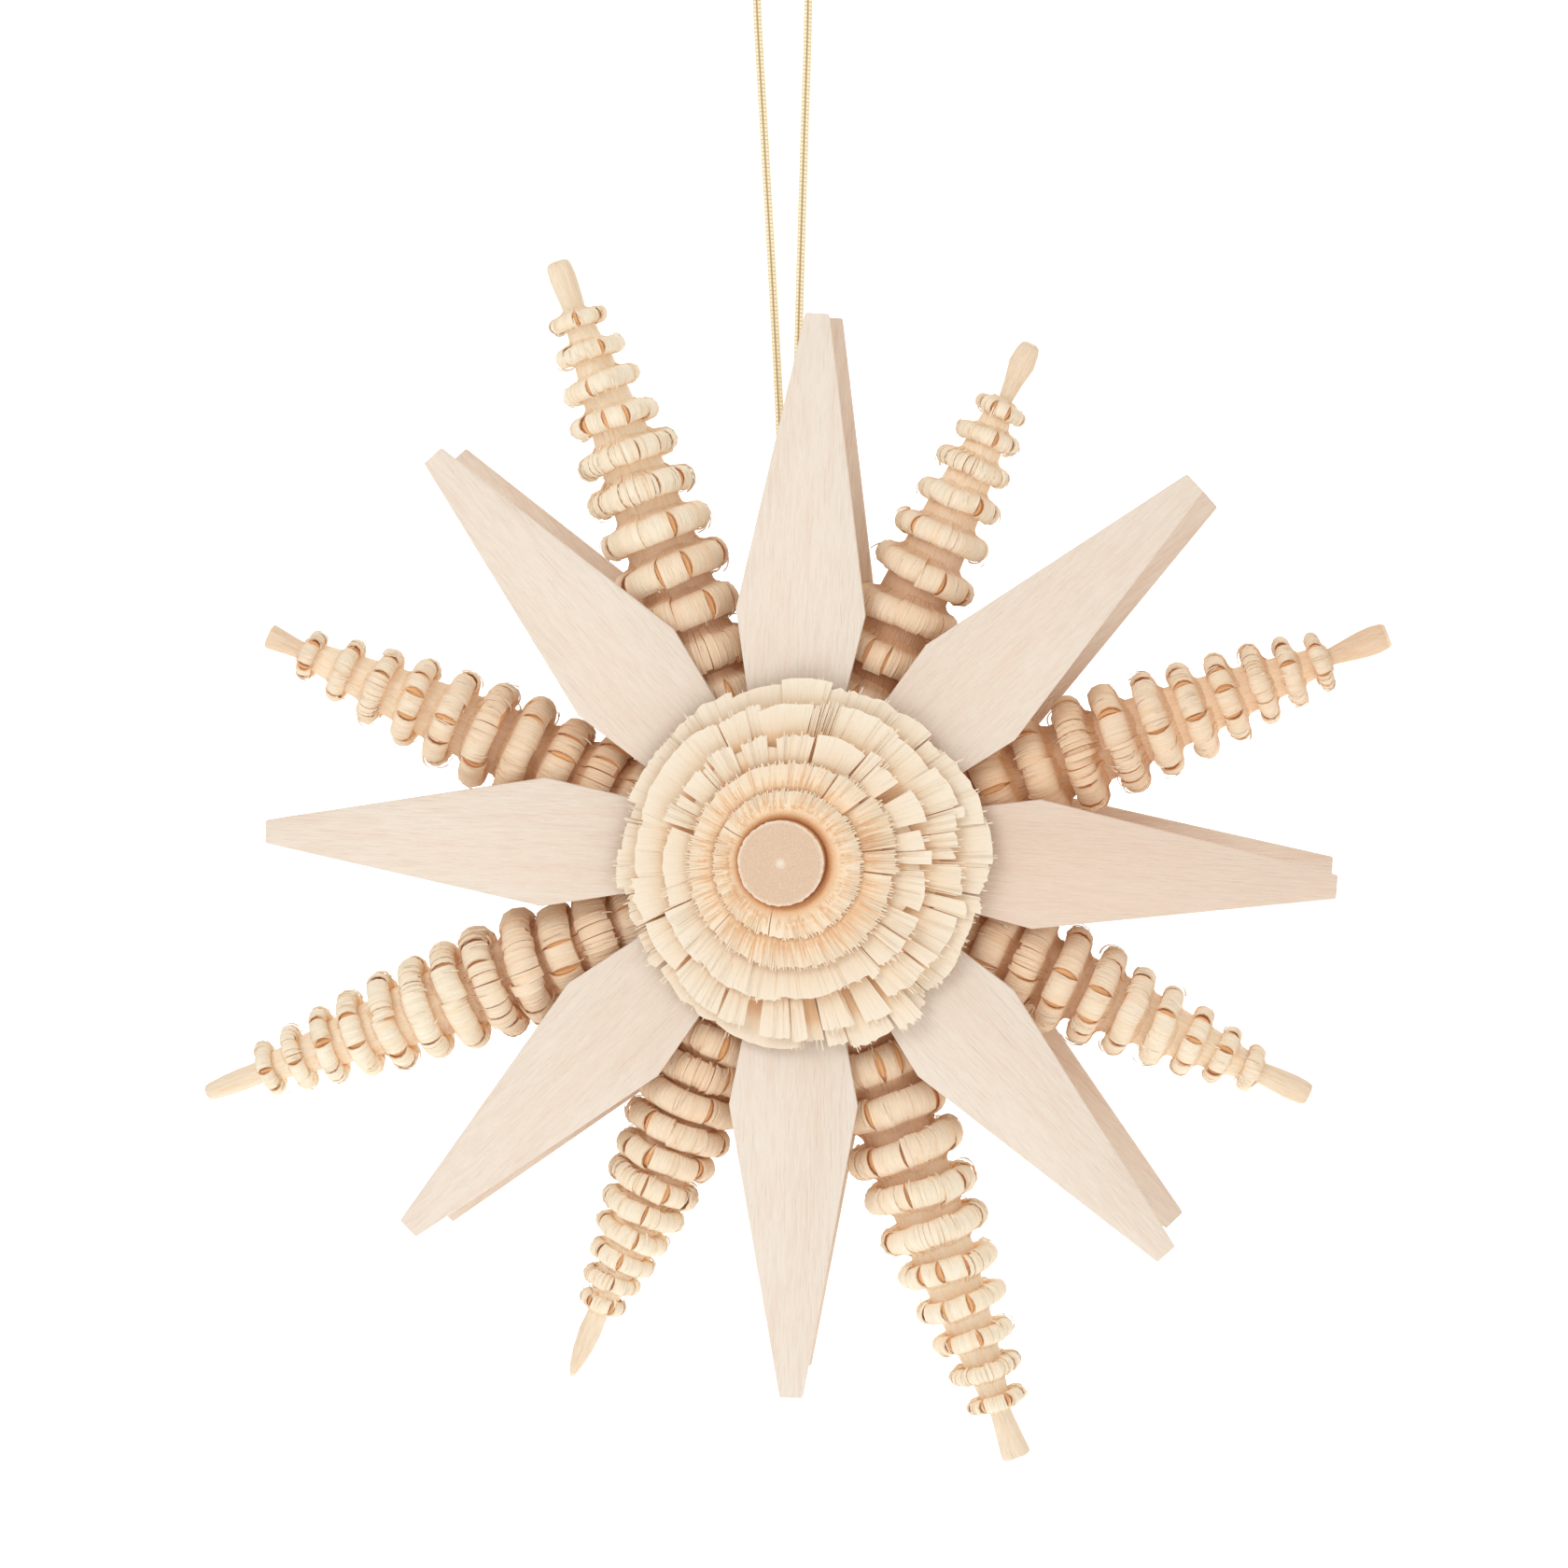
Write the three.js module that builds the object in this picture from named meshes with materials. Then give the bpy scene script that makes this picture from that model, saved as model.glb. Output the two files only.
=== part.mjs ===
// A wooden star ornament that hangs on a gold cord: eight whittled sticks with
// rows of curled shavings, eight thin slats before and eight behind them, and a
// shaved flower at the centre of each side. Millimetres, +Z up, the front faces -Y.
// The origin is the inside top of the cord's loop, where a hook or peg holds it.
import {
  CatmullRomCurve3,
  ExtrudeGeometry,
  Group,
  LatheGeometry,
  MathUtils,
  Mesh,
  MeshStandardMaterial,
  Shape,
  Vector2,
  Vector3,
} from 'three';

// The star's centre below the top of the loop.
const HANG_DROP = 77;

// Two layers of slats, with the sticks between them.
const LAYER_INNER_FACE = 4.9;
const SLAT_THICKNESS = 0.8;
const GLUE_GAP = 0.2;

// A slat's outline: a long six-sided blade, widest near its inner end.
const SLAT_INNER_END = 10.6;
const SLAT_INNER_WIDTH = 7.0;
const SLAT_WIDEST_AT = 21.2;
const SLAT_WIDTH = 11.1;
const SLAT_TIP_WIDTH = 2.0;

// Hand gluing: each slat's direction from +X towards +Z in degrees, how far its
// centre line passes beside the star's centre, and how far its tip reaches.
const FRONT_SLATS = {
  n: { angle: 86.1, aside: 0.1, reach: 46.6 },
  ne: { angle: 42.5, aside: -0.2, reach: 47.2 },
  e: { angle: -4.7, aside: 1.2, reach: 46.7 },
  se: { angle: -48.4, aside: 1.3, reach: 46.7 },
  s: { angle: -91.2, aside: 0.6, reach: 46.6 },
  sw: { angle: -136.4, aside: 0.0, reach: 46.3 },
  w: { angle: 177.5, aside: -0.7, reach: 45.4 },
  nw: { angle: 131.2, aside: -0.3, reach: 46.1 },
};
const BACK_SLATS = {
  n: { angle: 85.8, aside: 0.0, reach: 46.6 },
  ne: { angle: 40.2, aside: -0.2, reach: 47.2 },
  e: { angle: -3.0, aside: 0.5, reach: 46.6 },
  se: { angle: -45.8, aside: 0.5, reach: 46.3 },
  s: { angle: -91.0, aside: 0.3, reach: 45.8 },
  sw: { angle: -135.0, aside: 0.2, reach: 45.5 },
  w: { angle: 177.6, aside: -0.2, reach: 46.1 },
  nw: { angle: 130.8, aside: -0.3, reach: 45.8 },
};

// The whittled sticks, long and short in turn. Rings are the collars of curled
// shavings, counted from the centre; first and last are the places of the outer
// ones, crowding draws the rings together towards the tip.
const STICKS = {
  nnw: { angle: 109.6, aside: 1.5, reach: 55.2, rings: 11, first: 14.6, last: 49.8, crowding: 0.2, lastRadius: 2.6 },
  nne: { angle: 64.2, aside: 0.1, reach: 48.6, rings: 9, first: 14.4, last: 42.3, crowding: 0.3, lastRadius: 2.4 },
  ene: { angle: 20.6, aside: -0.7, reach: 54.5, rings: 11, first: 14.2, last: 48.2, crowding: 0.25, lastRadius: 2.8 },
  ese: { angle: -25.6, aside: 0.1, reach: 49.1, rings: 10, first: 15.2, last: 43.5, crowding: 0.15, lastRadius: 2.1 },
  sse: { angle: -70.9, aside: 0.5, reach: 56.0, rings: 11, first: 15.0, last: 50.7, crowding: 0.2, lastRadius: 2.8 },
  ssw: { angle: -113.8, aside: 0.0, reach: 50.1, rings: 12, first: 14.2, last: 42.9, crowding: 0.2, lastRadius: 2.1 },
  wsw: { angle: -159.1, aside: 0.8, reach: 56.2, rings: 12, first: 14.2, last: 50.0, crowding: 0.15, lastRadius: 2.6 },
  wnw: { angle: 155.3, aside: 1.5, reach: 49.7, rings: 10, first: 14.2, last: 45.6, crowding: 0.05, lastRadius: 2.3 },
};
const STICK_SIDES = 8;

// Radii along a stick, by the distance back from its last ring: the rod and the
// rings both swell towards the centre and stay even beyond the swell length.
const ROD_TIP_RADIUS = 1.2;
const ROD_BASE_RADIUS = 3.3;
const ROD_SWELL_LENGTH = 29;
const RING_BASE_RADIUS = 5.4;
const RING_SWELL_LENGTH = 28;
const RING_HALF_LENGTH_AT_TIP = 0.65;
const RING_HALF_LENGTH_GROWTH = 0.03;

// Rings under the slats are pressed flatter, and those near the centre keep
// clear of the neighbouring stick.
const PRESSED_RING_RADIUS = 4.6;
const PRESSED_UP_TO = 21.5;
const PRESSED_RELEASE = 0.25;
const NEIGHBOUR_CLEARANCE = 0.33;

// A ring's outline: steep where the curls' free ends hang towards the centre,
// sloping where they leave the rod. Parts of the ring's half length.
const RING_CREST_START = -0.8;
const RING_CREST_END = 0.5;

// The inner end of each stick is whittled to a point that meets the flower's stem.
const STICK_SEAT = 4.3;
const STICK_SEAT_RADIUS = 1.0;
const STICK_POINT_LENGTH = 8.4;
const TIP_ROUNDING = 0.5;

// The shaved flower: a stem with tiers of petals that flare from it. Each tier
// has the radius and height of its edge and of the hollow inside the next one.
const STEM_RADIUS = 3.65;
const STEM_END = 0.2;
const STEM_FACE = 9.8;
const STEM_GROOVE = { radius: 4.4, depth: 1.1 };
const PETAL_UNDERSIDE = LAYER_INNER_FACE + SLAT_THICKNESS + GLUE_GAP;
const PETAL_FOOT_INSET = 0.6;
const PETAL_TIERS = [
  { edge: 15.6, height: 6.7, hollow: 14.3, floor: 6.3 },
  { edge: 14.1, height: 7.6, hollow: 11.7, floor: 6.9 },
  { edge: 11.4, height: 8.5, hollow: 8.9, floor: 7.8 },
  { edge: 8.6, height: 9.3, hollow: 6.4, floor: 8.3 },
  { edge: 6.0, height: 9.6, hollow: STEM_GROOVE.radius, floor: STEM_FACE - STEM_GROOVE.depth },
];
const POINTS_PER_TIER = 2;
const FLOWER_SIDES = 36;
const SIDES_PER_PETAL = 3;
const PETAL_NOTCH = 1.0;
const PETAL_NOTCH_DROP = 0.6;
const FRONT_PETAL_DRIFT = 0.95;
const BACK_PETAL_DRIFT = 0.4;
const BACK_TIERS = 4;

// The hanging cord: one gold cord doubled into a loop. Half of its route, from
// the end beside the stem up to the loop: half the gap between the strands, and
// the height above the star's centre.
const CORD_DIAMETER = 0.8;
const CORD_SIDES = 8;
const CORD_STEPS = 75;
const CORD_HALF_ROUTE = [
  [0.6, 4.5],
  [0.6, 20],
  [0.65, 34],
  [1.05, 46],
  [1.65, 60],
  [2.2, 73],
  [2.2, 75.2],
  [1.56, 76.76],
];
const CORD_TOP = HANG_DROP + CORD_DIAMETER / 2;

const SLAT_WOOD = { color: 0xeadcc8, roughness: 0.75 };
const BACK_SLAT_WOOD = { color: 0xdcc5ac, roughness: 0.75 };
const STICK_WOOD = { color: 0xe3c9a4, roughness: 0.8 };
const FLOWER_WOOD = { color: 0xefdfc0, roughness: 0.8 };
const GOLD_CORD = { color: 0xd9a93a, roughness: 0.35, metalness: 0.8 };

function finish(look) {
  return new MeshStandardMaterial({ metalness: 0, ...look });
}

function named(name, geometry, look) {
  const mesh = new Mesh(geometry, finish(look));
  mesh.name = name;
  return mesh;
}

// Turns a piece that was made along +X to its direction in the star's plane and
// moves its centre line aside.
function aim(mesh, { angle, aside }) {
  const turn = MathUtils.degToRad(angle);
  mesh.rotation.y = -turn;
  mesh.position.set(-Math.sin(turn) * aside, 0, Math.cos(turn) * aside);
  return mesh;
}

// A slat lies along +X with its thickness along Y, its front face at frontY.
function slatGeometry(reach, frontY) {
  const corners = [
    [SLAT_INNER_END, SLAT_INNER_WIDTH / 2],
    [SLAT_WIDEST_AT, SLAT_WIDTH / 2],
    [reach, SLAT_TIP_WIDTH / 2],
  ];
  const upper = corners.map(([x, half]) => new Vector2(x, half));
  const lower = corners.map(([x, half]) => new Vector2(x, -half)).reverse();
  const geometry = new ExtrudeGeometry(new Shape([...upper, ...lower]), {
    depth: SLAT_THICKNESS,
    bevelEnabled: false,
  });
  geometry.rotateX(Math.PI / 2);
  geometry.translate(0, frontY + SLAT_THICKNESS, 0);
  return geometry;
}

// A value that swells from the tip's to the base's over a length, then stays.
function swell(tipValue, baseValue, length, distance) {
  const rest = Math.max(0, 1 - distance / length);
  return baseValue - (baseValue - tipValue) * rest * rest;
}

function rodRadius(stick, along) {
  return swell(ROD_TIP_RADIUS, ROD_BASE_RADIUS, ROD_SWELL_LENGTH, stick.last - along);
}

function ringPlaces(stick) {
  const span = stick.last - stick.first;
  return Array.from({ length: stick.rings }, (_, index) => {
    const part = index / (stick.rings - 1);
    return stick.first + span * (part + stick.crowding * part * (1 - part));
  });
}

function ringRadius(stick, along, halfLength) {
  const free = swell(stick.lastRadius, RING_BASE_RADIUS, RING_SWELL_LENGTH, stick.last - along);
  const pressed = PRESSED_RING_RADIUS + PRESSED_RELEASE * Math.max(0, along - PRESSED_UP_TO);
  const clear = NEIGHBOUR_CLEARANCE * (along - halfLength);
  return Math.min(free, pressed, clear);
}

// Foot, crest and foot of one collar of curls.
function ringOutline(stick, along) {
  const half = RING_HALF_LENGTH_AT_TIP + RING_HALF_LENGTH_GROWTH * (stick.last - along);
  const radius = ringRadius(stick, along, half);
  return [
    new Vector2(rodRadius(stick, along - half), along - half),
    new Vector2(radius, along + RING_CREST_START * half),
    new Vector2(radius, along + RING_CREST_END * half),
    new Vector2(rodRadius(stick, along + half), along + half),
  ];
}

function stickGeometry(stick) {
  const pointEnd = STICK_SEAT + STICK_POINT_LENGTH;
  const rings = ringPlaces(stick).flatMap((along) => ringOutline(stick, along));
  const bareRod = rings[0].y > pointEnd ? [new Vector2(rings[0].x, pointEnd)] : [];
  const outline = [
    new Vector2(0, STICK_SEAT),
    new Vector2(STICK_SEAT_RADIUS, STICK_SEAT),
    ...bareRod,
    ...rings,
    new Vector2(ROD_TIP_RADIUS, stick.reach - TIP_ROUNDING),
    new Vector2(ROD_TIP_RADIUS - TIP_ROUNDING, stick.reach),
    new Vector2(0, stick.reach),
  ];
  const geometry = new LatheGeometry(outline, STICK_SIDES);
  geometry.rotateZ(-Math.PI / 2);
  return geometry;
}

// The flower's outline from the stem's end, round the petals' underside and up
// over the tiers to the stem's face.
function flowerOutline(tiers) {
  const rim = tiers[0];
  return [
    new Vector2(0, STEM_END),
    new Vector2(STEM_RADIUS, STEM_END),
    new Vector2(STEM_RADIUS, PETAL_UNDERSIDE),
    new Vector2(rim.edge - PETAL_FOOT_INSET, PETAL_UNDERSIDE),
    ...tiers.flatMap((tier) => [
      new Vector2(tier.edge, tier.height),
      new Vector2(tier.hollow, tier.floor),
    ]),
    new Vector2(STEM_RADIUS, STEM_FACE - STEM_GROOVE.depth),
    new Vector2(STEM_RADIUS, STEM_FACE),
    new Vector2(0, STEM_FACE),
  ];
}

// Cuts each tier's edge into petals and lets the outer tiers drift sideways.
function flowerGeometry(tiers, drift) {
  const outline = flowerOutline(tiers);
  const geometry = new LatheGeometry(outline, FLOWER_SIDES);
  const place = geometry.attributes.position;
  const firstEdge = outline.findIndex((point) => point.x === tiers[0].edge);
  const spread = tiers[0].edge - STEM_RADIUS;
  for (let index = 0; index < place.count; index += 1) {
    const side = Math.floor(index / outline.length) % FLOWER_SIDES;
    const row = index % outline.length;
    const tier = (row - firstEdge) / POINTS_PER_TIER;
    const onEdge = Number.isInteger(tier) && tier >= 0 && tier < tiers.length;
    const radius = Math.hypot(place.getX(index), place.getZ(index));
    if (onEdge && (side + tier) % SIDES_PER_PETAL === 0) {
      const inward = (radius - PETAL_NOTCH) / radius;
      place.setXYZ(
        index,
        place.getX(index) * inward,
        place.getY(index) - PETAL_NOTCH_DROP,
        place.getZ(index) * inward,
      );
    }
    const outward = Math.max(0, radius - STEM_RADIUS) / spread;
    place.setX(index, place.getX(index) + drift * outward);
  }
  return geometry;
}

function cordGeometry() {
  const height = (above) => above - HANG_DROP;
  const left = CORD_HALF_ROUTE.map(([gap, above]) => new Vector3(-gap, 0, height(above)));
  const right = CORD_HALF_ROUTE.map(([gap, above]) => new Vector3(gap, 0, height(above))).reverse();
  const top = new Vector3(0, 0, height(CORD_TOP));
  const section = new Shape(
    Array.from({ length: CORD_SIDES }, (_, side) => {
      const turn = (2 * Math.PI * side) / CORD_SIDES;
      return new Vector2(Math.cos(turn), Math.sin(turn)).multiplyScalar(CORD_DIAMETER / 2);
    }),
  );
  return new ExtrudeGeometry(section, {
    steps: CORD_STEPS,
    bevelEnabled: false,
    extrudePath: new CatmullRomCurve3([...left, top, ...right]),
  });
}

function buildStar() {
  const star = new Group();
  star.position.z = -HANG_DROP;
  for (const [point, slat] of Object.entries(FRONT_SLATS)) {
    const geometry = slatGeometry(slat.reach, -LAYER_INNER_FACE - SLAT_THICKNESS);
    star.add(aim(named(`front_slat_${point}`, geometry, SLAT_WOOD), slat));
  }
  for (const [point, slat] of Object.entries(BACK_SLATS)) {
    const geometry = slatGeometry(slat.reach, LAYER_INNER_FACE);
    star.add(aim(named(`back_slat_${point}`, geometry, BACK_SLAT_WOOD), slat));
  }
  for (const [point, stick] of Object.entries(STICKS)) {
    star.add(aim(named(`curled_stick_${point}`, stickGeometry(stick), STICK_WOOD), stick));
  }
  const front = named('front_rosette', flowerGeometry(PETAL_TIERS, FRONT_PETAL_DRIFT), FLOWER_WOOD);
  front.rotation.x = Math.PI;
  const backTiers = PETAL_TIERS.slice(PETAL_TIERS.length - BACK_TIERS);
  const back = named('back_rosette', flowerGeometry(backTiers, BACK_PETAL_DRIFT), FLOWER_WOOD);
  star.add(front, back);
  return star;
}

const ornament = new Group();
ornament.add(buildStar());
ornament.add(named('hanging_cord', cordGeometry(), GOLD_CORD));

export default ornament;
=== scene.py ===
"""A hanging star of whittled sticks, thin slats and shaved flowers on a gold cord."""
import logging
import math
from dataclasses import dataclass, field, replace
from enum import Enum
from typing import Any, Mapping, Sequence, Union

import bpy
import numpy as np
from mathutils import Matrix, Vector


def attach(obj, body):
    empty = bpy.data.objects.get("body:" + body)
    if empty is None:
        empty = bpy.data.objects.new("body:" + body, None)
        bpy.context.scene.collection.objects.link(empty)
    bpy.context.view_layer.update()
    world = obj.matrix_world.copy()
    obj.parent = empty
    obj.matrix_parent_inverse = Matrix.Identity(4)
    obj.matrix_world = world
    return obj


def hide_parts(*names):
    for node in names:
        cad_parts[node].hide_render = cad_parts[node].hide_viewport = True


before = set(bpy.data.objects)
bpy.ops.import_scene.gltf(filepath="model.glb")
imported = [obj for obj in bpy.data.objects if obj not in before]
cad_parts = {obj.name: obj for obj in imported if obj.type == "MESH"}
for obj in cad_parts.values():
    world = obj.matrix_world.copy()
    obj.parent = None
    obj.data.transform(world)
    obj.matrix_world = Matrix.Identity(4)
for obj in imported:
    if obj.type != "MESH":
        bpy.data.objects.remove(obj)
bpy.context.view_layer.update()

LOG = logging.getLogger("star")
Array = np.ndarray
Piece = bpy.types.Object
Span = tuple[float, float]
Triple = tuple[float, float, float]
Colour = Triple

MM = 0.001
TAU = 2 * math.pi
HANG_DROP = 77.0
STAR_CENTRE = np.array([0.0, 0.0, -HANG_DROP])
LAYER_INNER_FACE = 4.9
SLAT_THICKNESS = 0.8
END_TOLERANCE = 0.01
GRAIN_DEPTH = 0.3
GRAIN_SPREAD = 400.0
NOISE_MIDDLE = 0.5
ALL_SMOOTH = 180.0
CARVED_ANGLE = 50.0
WHITE: Colour = (1.0, 1.0, 1.0)
BLACK: Colour = (0.0, 0.0, 0.0)
BODY = "root"
GRAIN = "grain"
# Mesh attribute: a warmer tone of the wood, and painted shade that warms and darkens its recesses.
TONE_AND_SHADE = "tone_and_shade"
CUT = "cut"
# Mesh attribute: where a painted glow is emitted, standing in for light through thin wood.
PAINTED_GLOW = "glow"


class Side(Enum):
    """Which face of the star a piece is glued to, as its sign along Y."""

    FRONT = -1
    BACK = 1


@dataclass(frozen=True)
class Ray:
    """A direction in the star's plane, and how far its line passes beside the centre."""

    angle: float
    aside: float = 0.0

    def place(self, local: Array) -> Array:
        """Puts points of a piece made along +X into the star.

        Args:
            local: Rows of along, depth and across, in millimetres.

        Returns:
            The same points in the part's frame, in metres.
        """
        turn = math.radians(self.angle)
        basis = np.array([
            [math.cos(turn), 0.0, math.sin(turn)],
            [0.0, 1.0, 0.0],
            [-math.sin(turn), 0.0, math.cos(turn)],
        ])
        return (STAR_CENTRE + local @ basis + self.aside * basis[2]) * MM


def set_mode(mode: str) -> None:
    """Changes between object and edit mode."""
    bpy.ops.object.mode_set(mode=mode)


def deselect() -> None:
    """Leaves object mode with nothing selected."""
    if bpy.context.object is not None and bpy.context.object.mode != "OBJECT":
        set_mode("OBJECT")
    bpy.ops.object.select_all(action="DESELECT")


def pick(piece: Piece) -> None:
    """Selects one object alone and makes it the active one."""
    deselect()
    piece.select_set(True)
    bpy.context.view_layer.objects.active = piece


def points_of(piece: Piece) -> Array:
    """Reads a mesh's vertices as rows of three numbers."""
    flat = np.empty(len(piece.data.vertices) * 3, np.float32)
    piece.data.vertices.foreach_get("co", flat)
    return flat.reshape(-1, 3).astype(float)


def move_points(piece: Piece, points: Array) -> None:
    """Writes a mesh's vertices back."""
    piece.data.vertices.foreach_set("co", points.astype(np.float32).ravel())
    piece.data.update()


def new_mesh(name: str, points: Array, faces: Sequence[Sequence[int]]) -> Piece:
    """Makes a mesh object of points and faces."""
    mesh = bpy.data.meshes.new(name)
    mesh.from_pydata(points.tolist(), [], faces)
    piece = bpy.data.objects.new(name, mesh)
    bpy.context.scene.collection.objects.link(piece)
    return piece


def write_grain(piece: Piece, grain: Array, tone_and_shade: Array, cut: Array, glow: Array) -> None:
    """Stores where each point lies in the wood.

    Args:
        piece: The mesh object.
        grain: Along the fibre, across it and through it, in millimetres.
        tone_and_shade: A warmer tone of the piece, and painted shade, from 0 on an open outer face to 1 deep
            in a recess.
        cut: 1 on end grain, where a blade went across the fibres, and down to -1 where a darker tone is
            mixed in, which near the star's centre is painted shade.
        glow: A painted glow from 0 to 1, emitted where light would soak through thin wood from its far side.
    """
    along = piece.data.attributes.new(GRAIN, "FLOAT_VECTOR", "POINT")
    along.data.foreach_set("vector", grain.astype(np.float32).ravel())
    for name, values in ((TONE_AND_SHADE, tone_and_shade), (CUT, cut), (PAINTED_GLOW, glow)):
        depth = piece.data.attributes.new(name, "FLOAT", "POINT")
        depth.data.foreach_set("value", values.astype(np.float32))


def apply_modifier(piece: Piece, kind: str, **settings: Any) -> None:
    """Adds one modifier with its settings and applies it."""
    pick(piece)
    modifier = piece.modifiers.new(kind.lower(), kind)
    for key, value in settings.items():
        setattr(modifier, key, value)
    bpy.ops.object.modifier_apply(modifier=modifier.name)


def draw_out(sides: int, radius: float, start: float, steps: Sequence[Span], axis: int) -> Piece:
    """Draws a round bar out turn by turn, and leaves its end face selected in edit mode.

    Args:
        sides: How many sides it has.
        radius: The radius of its first end.
        start: The level of its first end.
        steps: The level of each new end, and how much it grows.
        axis: 0 to draw along X, 2 to draw along Z.

    Returns:
        The bar.
    """
    deselect()
    place, tilt = [0.0] * 3, [0.0] * 3
    place[axis], tilt[1] = start, 0.0 if axis else math.pi / 2
    bpy.ops.mesh.primitive_circle_add(
        vertices=sides, radius=radius, fill_type="NGON", location=place, rotation=tilt
    )
    bar = bpy.context.object
    bpy.ops.object.transform_apply(location=True, rotation=True, scale=True)
    set_mode("EDIT")
    for level, grow in steps:
        shift, size, centre = [0.0] * 3, [grow] * 3, [0.0] * 3
        shift[axis], size[axis], centre[axis] = level - start, 1.0, level
        bpy.ops.mesh.extrude_region_move(TRANSFORM_OT_translate={"value": shift})
        bpy.ops.transform.resize(value=size, center_override=centre)
        start = level
    return bar


def face_outwards() -> None:
    """Turns the faces of the mesh in edit mode outwards and goes back to object mode."""
    bpy.ops.mesh.select_all(action="SELECT")
    bpy.ops.mesh.normals_make_consistent(inside=False)
    set_mode("OBJECT")


def join(first: Piece, second: Piece, name: str) -> Piece:
    """Makes two meshes one object, in the first one's place."""
    pick(first)
    second.select_set(True)
    bpy.ops.object.join()
    first.name = first.data.name = name
    return first


def finish(piece: Piece, angle: float, material: bpy.types.Material) -> Piece:
    """Shades a piece smooth up to an edge angle in degrees and gives it its material."""
    pick(piece)
    bpy.ops.object.shade_smooth_by_angle(angle=math.radians(angle))
    piece.data.materials.append(material)
    return piece


Value = Union[float, "Wire"]


class Wire:
    """One number that flows through a material; arithmetic on it adds Math nodes."""

    def __init__(self, bench: "Bench", socket: bpy.types.NodeSocket) -> None:
        self.bench = bench
        self.socket = socket

    def _math(self, operation: str, first: Value, second: Value) -> "Wire":
        """Adds one Math node on two values and returns its result."""
        node = self.bench.add("ShaderNodeMath", {"operation": operation}, {0: first, 1: second})
        return Wire(self.bench, node.outputs[0])

    def __add__(self, other: Value) -> "Wire":
        """Adds a number."""
        return self._math("ADD", self, other)

    __radd__ = __add__

    def __mul__(self, other: Value) -> "Wire":
        """Multiplies by a number."""
        return self._math("MULTIPLY", self, other)

    __rmul__ = __mul__

    def __sub__(self, other: Value) -> "Wire":
        """Takes a number away."""
        return self._math("SUBTRACT", self, other)

    def __rsub__(self, other: Value) -> "Wire":
        """Takes this value away from a number."""
        return self._math("SUBTRACT", other, self)

    def clamp(self) -> "Wire":
        """Keeps the value between 0 and 1."""
        return self._math("MINIMUM", self._math("MAXIMUM", self, 0.0), 1.0)


class Bench:
    """The empty network of a material or a world, and the one way to add nodes to it."""

    def __init__(self, owner: Union[bpy.types.Material, bpy.types.World]) -> None:
        owner.use_nodes = True
        self.owner = owner
        self.tree = owner.node_tree
        self.tree.nodes.clear()

    def add(self, kind: str, settings: Mapping[str, Any], inputs: Mapping[Any, Any]) -> bpy.types.Node:
        """Adds a node.

        Args:
            kind: The node's type.
            settings: Its properties.
            inputs: Values, wires or sockets by the input's name or number.

        Returns:
            The new node.
        """
        node = self.tree.nodes.new(kind)
        for key, value in settings.items():
            setattr(node, key, value)
        for key, value in inputs.items():
            if isinstance(value, Wire):
                self.tree.links.new(value.socket, node.inputs[key])
            elif isinstance(value, bpy.types.NodeSocket):
                self.tree.links.new(value, node.inputs[key])
            else:
                node.inputs[key].default_value = value
        return node

    def grain(self) -> bpy.types.NodeSocket:
        """The wood's own coordinates, as stored on the mesh."""
        return self.add("ShaderNodeAttribute", {"attribute_name": GRAIN}, {}).outputs["Vector"]

    def attribute(self, name: str) -> Wire:
        """A number that is stored on the mesh."""
        return Wire(self, self.add("ShaderNodeAttribute", {"attribute_name": name}, {}).outputs["Fac"])

    def noise(self, place: bpy.types.NodeSocket, stretch: Sequence[float], detail: float) -> Wire:
        """Noise in stretched coordinates.

        Args:
            place: The coordinates.
            stretch: The size of a fleck along each axis, in the coordinates' unit.
            detail: How many finer layers are added.

        Returns:
            The noise, about 0.5 on average.
        """
        scale = tuple(1.0 / size for size in stretch)
        scaled = self.add("ShaderNodeVectorMath", {"operation": "MULTIPLY"}, {0: place, 1: scale})
        inputs = {"Vector": scaled.outputs[0], "Scale": 1.0, "Detail": detail}
        return Wire(self, self.add("ShaderNodeTexNoise", {}, inputs).outputs["Fac"])

    def mix(self, share: Value, first: Any, second: Any) -> bpy.types.NodeSocket:
        """Blends two colours, plain or from a socket, by a share from 0 to 1."""
        first, second = (
            (*colour, 1.0) if isinstance(colour, tuple) else colour for colour in (first, second)
        )
        inputs = {"Factor": share, 6: first, 7: second}
        return self.add("ShaderNodeMix", {"data_type": "RGBA"}, inputs).outputs[2]

    def shade(self, inputs: Mapping[str, Any]) -> bpy.types.Material:
        """Ends the network in one surface shader with these inputs and returns the material."""
        shader = self.add("ShaderNodeBsdfPrincipled", {}, inputs)
        self.add("ShaderNodeOutputMaterial", {}, {"Surface": shader.outputs[0]})
        return self.owner


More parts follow.
